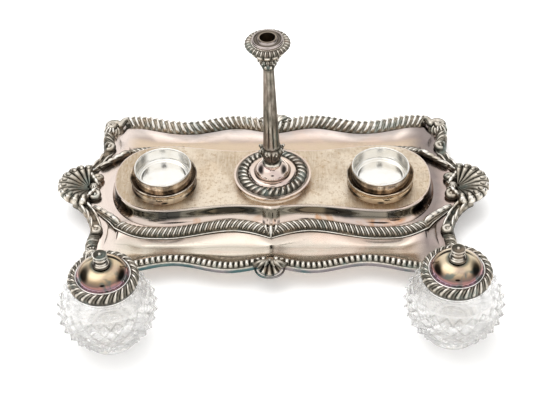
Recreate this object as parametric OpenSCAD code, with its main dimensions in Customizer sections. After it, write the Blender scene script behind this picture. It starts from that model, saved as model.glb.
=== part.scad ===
// Victorian inkstand: a footed tray with two pen troughs, a raised platform that carries two
// bottle holders and a small taperstick, and two cut-glass ink bottles with loose lids.
// The bottles stand on the table in front of the tray, and everything rests on z = 0.

/* [Tray] */
// Half length of the long gadroon sides
side_half_x = 118; // [114:1:119]
// Mean half width of the tray over its outer edge
edge_mid_y = 79; // [78:0.5:80]
// How far the outer edge swings in and out
edge_wave = 3.5; // [2:0.5:4]
// Distance between two lobes of the wavy edge
wave_pitch = 77; // [75:0.5:79]
// Place of the first lobe, from the centre line
wave_shift = 29; // [28:0.5:30]
// Height of the trough floor above the table
trough_z = 9.8; // [8:0.1:11]
// Height of the deck at the tray's ends
deck_z = 17.5; // [16.5:0.1:18]
// Thickness of the sheet metal
sheet = 1.2; // [0.8:0.1:1.4]
// Half distance between the outer edges of the trough floor
trough_out_y = 60; // [59:0.5:61]
// Half distance between the inner edges of the trough floor
trough_in_y = 52.6; // [52:0.2:53.6]
// Width of the outer gadroon border
border_w = 9.3; // [8:0.1:10]
// Height of the crest of the outer border
border_top_z = 20.5; // [20:0.1:21.5]
// Height of the border's lower edge
apron_z = 12.5; // [12:0.1:13]
// Width of the deck's gadroon band
band_w = 7.4; // [6.5:0.1:7.6]

/* [Shell handles and castings] */
// Reach of the shell tips from the tray's centre
shell_tip_x = 158.7; // [158:0.1:160]
// Place of the shell's root
shell_root_x = 134.7; // [134:0.1:136]
// Height of the shell's lip
shell_lip_z = 25.5; // [24:0.5:27]
// Number of ribs on a shell
shell_ribs = 11; // [7:2:13]
// Radius of a corner knob
knob_r = 7.6; // [6.5:0.1:8]
// Radius of a centre boss
boss_r = 10.5; // [9:0.5:11]
// Distance of a centre boss from the tray's centre
boss_y = 78.5; // [77:0.5:79]
// Place of a foot, from the tray's centre
foot_x = 98; // [80:1:100]
// Largest radius of a foot
foot_r = 6; // [4.5:0.5:6.5]

/* [Platform] */
// Height of the platform's top
platform_z = 28.5; // [27:0.5:30]
// Half length of the platform's top
platform_half_x = 114.7; // [113:0.1:115]
// Where the round ends of the platform begin
platform_end_x = 80; // [79:1:82]
// Half width of the platform at its waist
platform_waist_y = 29.4; // [29:0.2:30]
// Half width of the platform at its shoulders
platform_shoulder_y = 34.8; // [34:0.2:35.6]

/* [Bottle holders] */
// Distance of a holder from the centre, along the tray
holder_x = 78.2; // [76:0.1:82]
// Place of the holders across the tray
holder_y = -6.5; // [-8:0.5:0]
// Inner radius of a holder
holder_bore_r = 19.35; // [19.2:0.05:19.6]
// Outer radius of a holder's cup
holder_r = 20.6; // [20.4:0.1:20.9]
// Radius of a holder's foot ring
holder_foot_r = 21.3; // [21.2:0.1:22]
// Radius of a holder's ledge
holder_ledge_r = 24.4; // [23:0.1:25]
// Height of a holder above the platform
holder_h = 16.5; // [15:0.5:18]
// Depth of a holder
holder_depth = 10; // [9:0.5:11]

/* [Taperstick] */
// Place of the taperstick along the tray
stick_x = 0.5; // [-1:0.5:1]
// Place of the taperstick across the tray
stick_y = -2; // [-3:0.5:1]
// Outer radius of the seat ring
seat_r = 27.2; // [26:0.1:28]
// Height of the seat ring
seat_h = 3.9; // [3:0.1:4.5]
// Radius of the base flange
stick_base_r = 28; // [27:0.1:28.5]
// Radius of the stem at its foot
stem_foot_r = 6.3; // [5.8:0.1:6.6]
// Radius of the stem at its head
stem_head_r = 3.9; // [3.6:0.1:4.2]
// Height of the stem's foot above the table
stem_foot_z = 60; // [59:0.5:62]
// Height of the stem's head above the table
stem_head_z = 130; // [124:1:130]
// Radius of the drip pan
drip_r = 15.65; // [14.5:0.05:16]
// Inner radius of the candle socket
candle_r = 5.4; // [5:0.1:5.6]
// Depth of the candle socket
candle_depth = 15.5; // [14:0.5:15.5]

/* [Bottles] */
// Place of the left bottle along the tray
left_bottle_x = -106.3; // [-110:0.1:-105]
// Place of the left bottle in front of the tray's centre
left_bottle_y = -128.4; // [-135:0.1:-126]
// Place of the right bottle along the tray
right_bottle_x = 123.8; // [120:0.1:124.5]
// Place of the right bottle in front of the tray's centre
right_bottle_y = -123.6; // [-128:0.1:-123]
// Largest radius of the glass, over the tips of its cutting
glass_r = 34; // [33:0.5:34.5]
// Height of the widest part of the glass
glass_mid_z = 29; // [28:0.5:30]
// Radius of the glass foot, which drops into a holder
glass_foot_r = 18.8; // [18.4:0.1:19]
// Outer radius of the neck
neck_r = 21.6; // [21.2:0.1:21.8]
// Inner radius of the neck
neck_bore_r = 15.5; // [15.4:0.1:16]
// Height of the glass
glass_h = 54; // [53:0.5:54.5]

/* [Lids] */
// Outer radius of the lid's gadroon rim
lid_r = 23.5; // [23.4:0.1:24]
// Radius of the lid's dome
dome_r = 17.4; // [17:0.1:17.8]
// Height of the dome's foot above the table
dome_z = 59; // [58.5:0.1:59.5]
// Rise of the dome
dome_rise = 9.6; // [9:0.1:10]
// Height of the finial's tip above the table
finial_top_z = 78.4; // [78:0.1:79]

/* [Hidden] */

polished = [0.80, 0.74, 0.68];
satin = [0.78, 0.70, 0.60];
bright = [0.90, 0.89, 0.87];
patina = [0.45, 0.44, 0.42];
brass = [0.72, 0.60, 0.35];
clear_glass = [0.86, 0.92, 0.94, 0.6];

// The set's box is centred on the origin, so the tray stands a little behind it
tray_y = (glass_r - left_bottle_y - boss_y - boss_r) / 2;
long_steps = 12;
end_steps = 12;
gap = 0.3;
round_fn = 72;
small_fn = 40;

// ---- Outlines, for the quarter with x and y above zero ----

// Smooth step from 0 to 1
function ease(t) = t <= 0 ? 0 : t >= 1 ? 1 : t * t * (3 - 2 * t);
function mix(a, b, t) = a + (b - a) * t;
// Outer edge of the tray along a long side
function edge_y(x) = edge_mid_y + edge_wave * cos(360 * (x - wave_shift) / wave_pitch);
// Outer edge of the deck's gadroon band: a cusp at the centre, then a lobe to each end
band_cusp_y = 48.6;
band_dip_y = 41;
band_lobe_y = 49;
band_end_y = 38;
band_dip_x = 28;
band_lobe_x = 75;
band_end_x = 116;
function band_y(x) =
    x < band_dip_x ? mix(band_cusp_y, band_dip_y, sin(90 * x / band_dip_x)) :
    x < band_lobe_x ? mix(band_dip_y, band_lobe_y, ease((x - band_dip_x) / (band_lobe_x - band_dip_x))) :
    mix(band_lobe_y, band_end_y, pow((x - band_lobe_x) / (band_end_x - band_lobe_x), 3));
// Edge of the platform's top: a waist, two shoulders and round ends
platform_waist_x = 24;
platform_round = 2.2;
platform_point = 1.6;
function platform_y(x) =
    x < platform_waist_x ? platform_waist_y + platform_point * pow(1 - x / platform_waist_x, 2) :
    x < platform_end_x ? mix(platform_waist_y, platform_shoulder_y,
        ease((x - platform_waist_x) / (platform_end_x - platform_waist_x))) :
    platform_shoulder_y * pow(max(0, 1 - pow((x - platform_end_x) / (platform_half_x - platform_end_x),
        platform_round)), 1 / platform_round);

// Outer edge of the tray across an end: past the corner knob, in to the waist, out to the shell
waist_x = 124.5;
waist_y = 46;
knob_out_x = 127.5;
knob_in_y = 68;
shell_flare = 13;
function side_x(y) =
    y > knob_in_y ? mix(knob_out_x, side_half_x, ease((y - knob_in_y) / 10)) :
    y > waist_y ? mix(waist_x, knob_out_x, ease((y - waist_y) / 20)) :
    waist_x + shell_flare * ease((waist_y - y) / 32);
end_border_w = 7.5;

// A ring of the pan: along the long side by its own outline, then across the end.
// corner_x is the turning point, end_x the reach at y = 0, and the three heights are those
// of the long side, the corner and the middle of the end
function pan_quarter(kind, corner_x, end_x, z_side, z_corner, z_end) =
    let (corner_y = pan_side_y(kind, corner_x))
    concat(
        [for (i = [0 : long_steps])
            let (x = corner_x * i / long_steps)
            [x, pan_side_y(kind, x), mix(z_side, z_corner, ease((x - 90) / (corner_x - 90)))]],
        [for (j = [1 : end_steps])
            let (t = j / end_steps, y = corner_y * (1 - t))
            [pan_end_x(kind, corner_x, end_x, y, t), y, mix(z_corner, z_end, ease(2.2 * t))]]);
function pan_end_x(kind, corner_x, end_x, y, t) =
    kind == 0 ? side_x(y) :
    kind == 1 ? mix(corner_x, side_x(y) - end_border_w, ease(6 * t)) :
    mix(corner_x, end_x, ease(t));
function pan_side_y(kind, x) =
    kind == 0 ? edge_y(x) - 1.6 :
    kind == 1 ? edge_y(x) - border_w :
    kind == 2 ? trough_out_y :
    kind == 3 ? trough_in_y :
    kind == 4 ? band_y(x) :
    band_y(x) - band_w;
// The whole ring from its quarter, counter-clockwise seen from above
function whole_ring(q) =
    let (n = len(q) - 1)
    concat(
        [for (i = [0 : n]) [q[n - i][0], q[n - i][1], q[n - i][2]]],
        [for (i = [1 : n]) [-q[i][0], q[i][1], q[i][2]]],
        [for (i = [1 : n]) [-q[n - i][0], -q[n - i][1], q[n - i][2]]],
        [for (i = [1 : n - 1]) [q[i][0], -q[i][1], q[i][2]]]);
function drop(ring, dz) = [for (p = ring) [p[0], p[1], p[2] - dz]];
function shrink(ring, d) = [for (p = ring)
    let (r = norm([p[0], p[1]]))
    [p[0] * (1 - d / r), p[1] * (1 - d / r), p[2]]];

// A closed solid from rings of equal length, listed so that the skin turns outwards;
// the first and the last ring are closed with flat fans about their own centres
module ring_solid(rings) {
    n = len(rings[0]);
    m = len(rings);
    points = concat([for (r = rings) each r],
        [[0, 0, rings[0][0][2]], [0, 0, rings[m - 1][0][2]]]);
    sides = [for (k = [0 : m - 2]) for (i = [0 : n - 1])
        let (a = k * n + i, b = k * n + (i + 1) % n)
        each [[a, b + n, b], [a, a + n, b + n]]];
    first = [for (i = [0 : n - 1]) [m * n, i, (i + 1) % n]];
    last = [for (i = [0 : n - 1]) [m * n + 1, (m - 1) * n + (i + 1) % n, (m - 1) * n + i]];
    polyhedron(points = points, faces = concat(sides, first, last), convexity = 6);
}

// Direction of a path at point i, in plan
function path_dir(path, i) =
    let (a = path[max(0, i - 1)], b = path[min(len(path) - 1, i + 1)], d = [b[0] - a[0], b[1] - a[1]])
    d / norm(d);
// A casting swept along a level path. The profile's first value lies to the left of the
// path and its second is the height; size scales it about its own foot at each point
module casting(path, profile, size) {
    n = len(profile);
    m = len(path);
    points = [for (i = [0 : m - 1]) for (p = profile)
        let (d = path_dir(path, i), s = size[i])
        [path[i][0] - d[1] * p[0] * s, path[i][1] + d[0] * p[0] * s,
            profile[0][1] + (p[1] - profile[0][1]) * s + path[i][2]]];
    sides = [for (k = [0 : m - 2]) for (i = [0 : n - 1])
        let (a = k * n + i, b = k * n + (i + 1) % n)
        each [[a, b, b + n], [a, b + n, a + n]]];
    first = [[for (i = [0 : n - 1]) n - 1 - i]];
    last = [[for (i = [0 : n - 1]) (m - 1) * n + i]];
    polyhedron(points = points, faces = concat(sides, first, last), convexity = 6);
}
// A smooth curve through hand-picked points
function spline_point(p, i, t) =
    let (a = p[max(0, i - 1)], b = p[i], c = p[i + 1], d = p[min(len(p) - 1, i + 2)])
    0.5 * (2 * b + (c - a) * t + (2 * a - 5 * b + 4 * c - d) * t * t + (3 * b - a - 3 * c + d) * t * t * t);
function spline(p, steps) = concat(
    [for (i = [0 : len(p) - 2]) for (k = [0 : steps - 1]) spline_point(p, i, k / steps)],
    [p[len(p) - 1]]);

module at_tray() translate([0, tray_y, 0]) children();
module mirror_y(flip) mirror([0, flip ? 1 : 0, 0]) children();
module mirror_x(flip) mirror([flip ? 1 : 0, 0, 0]) children();
// A part of the tray, drawn for the back right quarter and moved to another one
module quarter(left, front) at_tray() mirror_x(left) mirror_y(front) children();
module turned(profile, fn = round_fn) rotate_extrude($fn = fn) polygon(profile);

// ---- Tray ----

pan_top = [
    whole_ring(pan_quarter(0, side_half_x, 0, 13, 13, 16.6)),
    whole_ring(pan_quarter(1, 114.5, 0, 13.6, 14.5, deck_z)),
    whole_ring(pan_quarter(2, 111.5, 128, trough_z, 14, deck_z)),
    whole_ring(pan_quarter(3, 110.5, 125.8, trough_z, 14.5, deck_z)),
    whole_ring(pan_quarter(4, 110, 123, 13, 16, deck_z)),
    whole_ring(pan_quarter(5, 108, 119.5, deck_z, deck_z, deck_z))];

module tray_pan() color(polished) at_tray()
    ring_solid(concat([for (k = [5 : -1 : 0]) drop(pan_top[k], sheet)], pan_top));

border_profile = [[0, apron_z], [1.6, apron_z], [border_w, 13.4], [border_w, 14.2], [6.6, 18.6],
    [4.2, border_top_z], [1.8, 19.6], [0, 17.4]];
border_rings = 56;
border_path = [for (i = [0 : border_rings])
    let (x = side_half_x * (2 * i / border_rings - 1))
    [-x, edge_y(abs(x)), 0]];
module border() color(patina) casting(border_path, border_profile, [for (p = border_path) 1]);
module border_front() at_tray() mirror_y(true) border();
module border_back() at_tray() border();

// Scrolled strip from a corner knob past the waist to the shell
side_route = [[128.4, 67, 0], [128.6, 58, 0.4], [127.6, 50, 0], [126.8, 42, 0], [129.5, 33, 0.5],
    [133.4, 25.5, 1], [138.6, 19.5, 1.6], [144.2, 15.5, 2]];
side_profile = [[-2.2, apron_z], [6, apron_z + 0.6], [6.2, 15.6], [4.4, 18.6], [2, 19.8],
    [-0.6, 19], [-2.2, 16.6]];
side_path = spline(side_route, 3);
module side_scroll() color(patina)
    casting([for (i = [len(side_path) - 1 : -1 : 0]) side_path[i]], side_profile,
        [for (i = [0 : len(side_path) - 1]) 0.82 + 0.2 * sin(180 * i / (len(side_path) - 1))]);
module side_scroll_front_left() quarter(true, true) side_scroll();
module side_scroll_front_right() quarter(false, true) side_scroll();
module side_scroll_back_left() quarter(true, false) side_scroll();
module side_scroll_back_right() quarter(false, false) side_scroll();

knob_x = 124.8;
knob_y = 70;
knob_top_z = 23;
module corner_knob() color(patina) translate([knob_x, knob_y, 0])
    turned(concat([[0, apron_z], [knob_r - 1, apron_z], [knob_r, 14]],
        [for (a = [15 : 15 : 75]) [knob_r * cos(a), mix(15, knob_top_z, sin(a))]],
        [[0, knob_top_z]]), small_fn);
module corner_knob_front_left() quarter(true, true) corner_knob();
module corner_knob_front_right() quarter(false, true) corner_knob();
module corner_knob_back_left() quarter(true, false) corner_knob();
module corner_knob_back_right() quarter(false, false) corner_knob();

// Scallop fan: ribs spread from the root, and the lip turns up
shell_spread = 84;
shell_rows = 5;
shell_root_r = 3;
shell_side_r = 17.5;
shell_root_z = 19;
shell_thick = 2.2;
function shell_reach(a) = mix(shell_tip_x - shell_root_x, shell_side_r, pow(abs(a) / shell_spread, 2));
function shell_point(a, t, depth) =
    let (r = mix(shell_root_r, shell_reach(a), t),
        rib = 0.9 * t * cos(a / (2 * shell_spread) * 360 * shell_ribs))
    [shell_root_x + r * cos(a), r * sin(a),
        shell_root_z + (shell_lip_z - shell_root_z) * pow(t, 1.6) + rib - depth];
module shell_fan() {
    across = 2 * shell_ribs;
    row = across + 1;
    layer = row * (shell_rows + 1);
    points = [for (d = [0, shell_thick]) for (k = [0 : shell_rows]) for (i = [0 : across])
        shell_point(shell_spread * (2 * i / across - 1), k / shell_rows, d)];
    top = [for (k = [0 : shell_rows - 1]) for (i = [0 : across - 1])
        let (a = k * row + i)
        each [[a, a + row + 1, a + 1], [a, a + row, a + row + 1]]];
    bottom = [for (f = top) [f[0] + layer, f[2] + layer, f[1] + layer]];
    rim = concat([for (i = [0 : across]) i],
        [for (k = [1 : shell_rows]) k * row + across],
        [for (i = [across - 1 : -1 : 0]) shell_rows * row + i],
        [for (k = [shell_rows - 1 : -1 : 1]) k * row]);
    skirt = [for (i = [0 : len(rim) - 1])
        let (a = rim[i], b = rim[(i + 1) % len(rim)])
        each [[a, b, b + layer], [a, b + layer, a + layer]]];
    polyhedron(points = points, faces = concat(top, bottom, skirt), convexity = 8);
}
module shell_handle_left() color(patina) quarter(true, false) shell_fan();
module shell_handle_right() color(patina) quarter(false, false) shell_fan();

// Pair of rolled scrolls at the root of a shell, with a bead between them
volute_x = 129.3;
volute_y = 9;
volute_r = 3.6;
volute_tube_r = 1.9;
volute_z = deck_z + volute_tube_r - 0.2;
module shell_volutes() color(patina) {
    for (side = [-1, 1]) translate([volute_x, side * volute_y, volute_z]) {
        rotate_extrude($fn = small_fn) translate([volute_r, 0]) circle(r = volute_tube_r, $fn = 20);
        translate([0, 0, -volute_tube_r]) cylinder(r = volute_r, h = 2.6, $fn = small_fn);
    }
    translate([volute_x, 0, deck_z - 0.4])
        turned([[0, 0], [4.4, 0], [4.4, 2], [3.4, 4], [1.8, 5], [0, 5.2]], small_fn);
    translate([volute_x - 1, -volute_y, deck_z - 0.4]) cube([6, 2 * volute_y, 2.4]);
}
module shell_volutes_left() quarter(true, false) shell_volutes();
module shell_volutes_right() quarter(false, false) shell_volutes();

boss_top_z = 22.5;
module centre_boss() color(patina) translate([0, boss_y, 0])
    turned(concat([[0, apron_z], [boss_r - 1, apron_z], [boss_r, 13.6]],
        [for (a = [10 : 20 : 70]) [boss_r * cos(a), mix(14.5, boss_top_z, sin(a))]],
        [[0, boss_top_z]]), small_fn);
module centre_boss_front() quarter(false, true) centre_boss();
module centre_boss_back() quarter(false, false) centre_boss();

// Gadroon band round the deck, which runs out to the shell's scrolls at both ends
band_profile = [[0, 12.9], [band_w, 17], [band_w, 18], [6.4, 19.5], [4.4, 19.5], [2.4, 18], [0.5, 15.2]];
band_rings = 24;
band_lift = 2.6;
band_tail = spline([[112, band_y(112), band_lift], [115.6, 37.6, 3.7], [119, 29.5, 4], [121.6, 21, 4.1]], 3);
band_half = concat([for (i = [0 : band_rings - 1])
    let (x = 112 * i / band_rings)
    [x, band_y(x), band_lift * ease((x - 90) / 22)]], band_tail);
band_last = len(band_half) - 1;
band_path = concat([for (i = [0 : band_last]) band_half[band_last - i]],
    [for (i = [1 : band_last]) [-band_half[i][0], band_half[i][1], band_half[i][2]]]);
band_size = [for (i = [-band_last : band_last]) mix(1, 0.42, ease((abs(i) - band_rings + 3) / 10))];
module deck_band() color(patina) casting(band_path, band_profile, band_size);
module deck_band_front() at_tray() mirror_y(true) deck_band();
module deck_band_back() at_tray() deck_band();

foot_y = (trough_out_y + trough_in_y) / 2;
foot_h = trough_z - sheet;
module foot() color(patina) translate([foot_x, foot_y, 0])
    turned(concat([[0, 0], [foot_r - 1.6, 0]],
        [for (a = [-50 : 20 : 50]) [foot_r * cos(a), foot_h / 2 * (1 + 0.95 * sin(a) / sin(50))]],
        [[3.4, foot_h], [0, foot_h]]), small_fn);
module foot_front_left() quarter(true, true) foot();
module foot_front_right() quarter(false, true) foot();
module foot_back_left() quarter(true, false) foot();
module foot_back_right() quarter(false, false) foot();

// ---- Platform ----

// Its top edge, then the cove that spreads to the deck's band and the deck's floor
platform_steps = 16;
platform_end_steps = 7;
cove_top_share = 0.16;
cove_mid_share = 0.42;
platform_foot_x = 117.6;
function platform_quarter(share, z) =
    [for (i = [0 : platform_steps + platform_end_steps])
        let (along = i <= platform_steps,
            a = 90 * (i - platform_steps) / platform_end_steps,
            x = along ? platform_end_x * i / platform_steps : mix(platform_end_x, platform_half_x, sin(a)),
            y = platform_y(x),
            foot_edge = along ? [x, band_y(x) - band_w - 0.2] :
                [mix(platform_end_x, platform_foot_x, sin(a)),
                    (band_y(platform_end_x) - band_w - 0.2) * pow(cos(a), 0.9)])
        [mix(x, foot_edge[0], share), mix(y, foot_edge[1], share), z]];
platform_outer = [
    whole_ring(platform_quarter(1, deck_z)),
    whole_ring(platform_quarter(cove_mid_share, mix(deck_z, platform_z, 0.3))),
    whole_ring(platform_quarter(cove_top_share, mix(deck_z, platform_z, 0.72))),
    whole_ring(platform_quarter(0, platform_z))];
module platform() color(satin) at_tray()
    ring_solid(concat([drop(shrink(platform_outer[3], 3 * sheet), sheet)],
        [for (k = [2 : -1 : 0]) shrink(platform_outer[k], 3 * sheet)],
        platform_outer));

// ---- Bottle holders ----

ledge_z = 9.1;
ledge_t = 0.8;
module at_holder(left) translate([(left ? -1 : 1) * holder_x, tray_y + holder_y, platform_z]) children();
module holder_foot(left) color(polished) at_holder(left)
    turned([[holder_r, 0], [holder_foot_r, 0], [holder_foot_r, ledge_z - ledge_t],
        [holder_ledge_r, ledge_z - ledge_t], [holder_ledge_r, ledge_z], [holder_r, ledge_z]]);
module holder_cup(left) color(bright) at_holder(left)
    turned([[0, holder_h - holder_depth - 1], [holder_r, holder_h - holder_depth - 1],
        [holder_r, holder_h], [holder_bore_r, holder_h],
        [holder_bore_r, holder_h - holder_depth], [0, holder_h - holder_depth]]);
module holder_foot_left() holder_foot(true);
module holder_foot_right() holder_foot(false);
module holder_cup_left() holder_cup(true);
module holder_cup_right() holder_cup(false);

// ---- Taperstick ----

module at_stick() translate([stick_x, tray_y + stick_y, 0]) children();
seat_bore_r = 22;
seat_top_z = platform_z + seat_h;
module taper_seat() color(polished) at_stick()
    turned([[seat_bore_r, platform_z], [seat_r, platform_z], [seat_r - 0.4, seat_top_z - 1],
        [seat_r - 1, seat_top_z], [seat_bore_r, seat_top_z]]);

base_z = seat_top_z + gap;
base_neck_r = 7.4;
base_neck_z = 45;
base_dome_r = 18;
base_dome_z = 34.9;
base_dome_rise = 8.9;
rod_r = 1.5;
rod_bore_r = 1.55;
base_shell = 1.2;
function base_dome(r, a, out) = [r * cos(a), base_dome_z + (base_dome_rise + out) * sin(a)];
module taper_base() color(polished) at_stick()
    turned(concat(
        [[seat_bore_r - 1.6, base_z - 3], [seat_bore_r - 0.4, base_z - 3], [seat_bore_r - 0.4, base_z],
            [stick_base_r, base_z], [stick_base_r, base_z + 0.8], [25.4, base_z + 1.5],
            [base_dome_r + 0.4, base_z + 2]],
        [for (a = [0 : 10 : 60]) base_dome(base_dome_r, a, 0)],
        [[base_neck_r, 43.6], [base_neck_r, base_neck_z], [rod_bore_r, base_neck_z], [rod_bore_r, 42.4]],
        [for (a = [60 : -10 : 0]) base_dome(base_dome_r - base_shell, a, -base_shell)],
        [[base_dome_r - base_shell, base_z], [seat_bore_r - 1.6, base_z]]));

gadroon_in_r = 18.4;
gadroon_out_r = 25;
module taper_base_gadroon() color(patina) at_stick()
    turned([[gadroon_in_r, 34.7], [gadroon_out_r + 0.4, 34.2], [gadroon_out_r, 35.4], [23.7, 36.4],
        [21.6, 36.8], [19.6, 36.3]]);

module taper_leaf_cup() color(patina) at_stick()
    turned([[rod_bore_r, base_neck_z], [6, base_neck_z], [6.2, 46.2], [5.3, 47.4], [6.3, 49], [7.7, 52],
        [9, 55.5], [9.4, 57.5], [8.4, 59], [7.2, stem_foot_z], [rod_bore_r, stem_foot_z]], small_fn);

module taper_stem() color(patina) at_stick()
    turned([[rod_bore_r, stem_foot_z], [stem_foot_r, stem_foot_z], [stem_head_r, stem_head_z],
        [rod_bore_r, stem_head_z]], small_fn);

capital_z = 134.6;
spigot_r = 2.6;
spigot_bore_r = 2.9;
spigot_z = 131.8;
rod_top_z = 130.9;
module taper_capital() color(patina) at_stick()
    turned([[rod_bore_r, stem_head_z], [stem_head_r, stem_head_z], [4.1, 131], [5.3, 132.4],
        [5.1, 133.6], [4.4, capital_z], [spigot_bore_r, capital_z], [spigot_bore_r, spigot_z],
        [0, spigot_z], [0, rod_top_z + 0.1], [rod_bore_r, rod_top_z + 0.1]], small_fn);

rod_foot_z = 37.5;
module taper_tie_rod() color(brass) at_stick()
    translate([0, 0, rod_foot_z]) cylinder(r = rod_r, h = rod_top_z - rod_foot_z, $fn = small_fn);
nut_across = 6.4;
nut_h = 2.6;
module taper_nut() color(brass) at_stick() translate([0, 0, 39.4]) difference() {
    cylinder(d = nut_across / cos(30), h = nut_h, $fn = 6);
    translate([0, 0, -1]) cylinder(r = rod_r, h = nut_h + 2, $fn = small_fn);
}

nozzle_z = capital_z + gap;
drip_z = 149.5;
rim_z = 152.5;
stick_top_z = 155.5;
socket_r = 6.2;
socket_foot_z = stick_top_z - candle_depth;
module nozzle_cup() color(patina) at_stick()
    turned([[0, spigot_z + gap], [spigot_r, spigot_z + gap], [spigot_r, nozzle_z], [5.6, nozzle_z],
        [6.6, 135.7], [7.4, 137.4], [9.4, 141], [12.2, 144], [12.6, 146.4], [11.2, 147.8], [10, 148.4],
        [10, drip_z],
        [socket_r, drip_z], [socket_r, socket_foot_z - 0.8], [0, socket_foot_z - 0.8]], small_fn);
module nozzle_drip_pan() color(patina) at_stick()
    turned([[socket_r, drip_z], [10.4, drip_z], [drip_r - 0.7, drip_z + 1], [drip_r, drip_z + 2],
        [drip_r - 1.2, rim_z], [11.4, rim_z], [socket_r, rim_z]]);
module nozzle_rim() color(polished) at_stick()
    turned([[socket_r, rim_z], [10.5, rim_z], [10.5, rim_z + 1.6], [9.6, rim_z + 2.4],
        [7.6, rim_z + 1.8], [socket_r, rim_z + 2]]);
module candle_socket() color(brass) at_stick() difference() {
    translate([0, 0, socket_foot_z - 0.8]) cylinder(r = socket_r, h = candle_depth + 0.8, $fn = round_fn);
    translate([0, 0, socket_foot_z]) cylinder(r = candle_r, h = candle_depth + 1, $fn = round_fn);
}

// ---- Bottles and lids ----

module at_bottle(left)
    translate([left ? left_bottle_x : right_bottle_x,
        tray_y + (left ? left_bottle_y : right_bottle_y), 0]) children();
foot_top_z = 6.5;
cavity_r = 26.5;
cavity_z = 9;
neck_foot_z = 50.5;
module bottle_glass(left) color(clear_glass) at_bottle(left)
    turned(concat(
        [[0, 0], [glass_foot_r - 0.8, 0], [glass_foot_r, 0.8], [glass_foot_r, foot_top_z]],
        [for (a = [-45 : 9 : 45]) [glass_r * cos(a) + 0.6 * (1 - cos(a)), glass_mid_z + 27.5 * sin(a)]],
        [[neck_r, neck_foot_z], [neck_r, glass_h], [neck_bore_r, glass_h], [neck_bore_r, 45.5]],
        [for (a = [40 : -10 : -50]) [cavity_r * cos(a), 28 + 22 * sin(a)]],
        [[11, cavity_z + 0.6], [0, cavity_z]]));

sleeve_out_r = 15.1;
sleeve_in_r = 14.2;
sleeve_z = 46;
sleeve_top_z = 57.2;
lid_under_z = 54.4;
skirt_z = 52.3;
skirt_in_r = 22;
skirt_out_r = 22.9;
module lid_rim(left) color(patina) at_bottle(left)
    turned([[dome_r, lid_under_z], [skirt_in_r, lid_under_z], [skirt_in_r, skirt_z],
        [skirt_out_r, skirt_z], [skirt_out_r, 56.2], [lid_r, 57], [lid_r, 57.8], [22.4, 59.4],
        [20.6, 60], [18.6, 59.2], [dome_r + 0.5, 58.4], [dome_r, 58.4]]);
function dome_point(r, a, out) = [r * cos(a), dome_z + (dome_rise + out) * sin(a)];
stud_r = 1.9;
stud_hole_r = 1.95;
dome_shell = 1;
dome_last = 66;
module lid_dome(left) color(polished) at_bottle(left)
    turned(concat(
        [[sleeve_in_r, lid_under_z], [dome_r, lid_under_z], [dome_r, dome_z]],
        [for (a = [6 : 10 : dome_last]) dome_point(dome_r, a, 0)],
        [[5, 68.3], [stud_hole_r, 68.5], [stud_hole_r, 67.4], [5, 67.2]],
        [for (a = [dome_last : -10 : 6]) dome_point(dome_r - dome_shell, a, -dome_shell)],
        [[dome_r - dome_shell, sleeve_top_z], [sleeve_in_r, sleeve_top_z]]));
module lid_sleeve(left) color(polished) at_bottle(left)
    turned([[sleeve_in_r, sleeve_z], [sleeve_out_r, sleeve_z], [sleeve_out_r, lid_under_z],
        [sleeve_in_r, lid_under_z]]);
finial_z = 68.6;
module finial(left) color(patina) at_bottle(left)
    turned([[0, 63], [stud_r, 63], [stud_r, finial_z], [6, finial_z], [6, 69.2], [4.8, 70],
        [4.6, 71.2], [3.9, 72], [3.8, 72.8], [4.6, 73.6], [4.8, 74.4], [4, 75.4], [4, 75.9], [4.7, 76.3],
        [4.7, 77.2], [4.2, 77.6], [0, finial_top_z]], small_fn);
module finial_nut(left) color(brass) at_bottle(left) translate([0, 0, 64.4]) difference() {
    cylinder(d = nut_across / cos(30), h = nut_h, $fn = 6);
    translate([0, 0, -1]) cylinder(r = stud_r, h = nut_h + 2, $fn = small_fn);
}
module bottle_glass_left() bottle_glass(true);
module bottle_glass_right() bottle_glass(false);
module lid_dome_left() lid_dome(true);
module lid_dome_right() lid_dome(false);
module lid_rim_left() lid_rim(true);
module lid_rim_right() lid_rim(false);
module lid_sleeve_left() lid_sleeve(true);
module lid_sleeve_right() lid_sleeve(false);
module finial_left() finial(true);
module finial_right() finial(false);
module finial_nut_left() finial_nut(true);
module finial_nut_right() finial_nut(false);

tray_pan();
border_front();
border_back();
side_scroll_front_left();
side_scroll_front_right();
side_scroll_back_left();
side_scroll_back_right();
corner_knob_front_left();
corner_knob_front_right();
corner_knob_back_left();
corner_knob_back_right();
shell_handle_left();
shell_handle_right();
shell_volutes_left();
shell_volutes_right();
centre_boss_front();
centre_boss_back();
deck_band_front();
deck_band_back();
foot_front_left();
foot_front_right();
foot_back_left();
foot_back_right();
platform();
holder_foot_left();
holder_foot_right();
holder_cup_left();
holder_cup_right();
taper_seat();
taper_base();
taper_base_gadroon();
taper_leaf_cup();
taper_stem();
taper_capital();
taper_tie_rod();
taper_nut();
nozzle_cup();
nozzle_drip_pan();
nozzle_rim();
candle_socket();
bottle_glass_left();
lid_dome_left();
lid_rim_left();
lid_sleeve_left();
finial_left();
finial_nut_left();
bottle_glass_right();
lid_dome_right();
lid_rim_right();
lid_sleeve_right();
finial_right();
finial_nut_right();
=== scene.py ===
"""Looks of the silver-plated inkstand: castings, sheet metal, cut glass, light and camera."""
import math

import bmesh
import bpy
import numpy as np
from mathutils import Matrix, Vector


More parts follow.
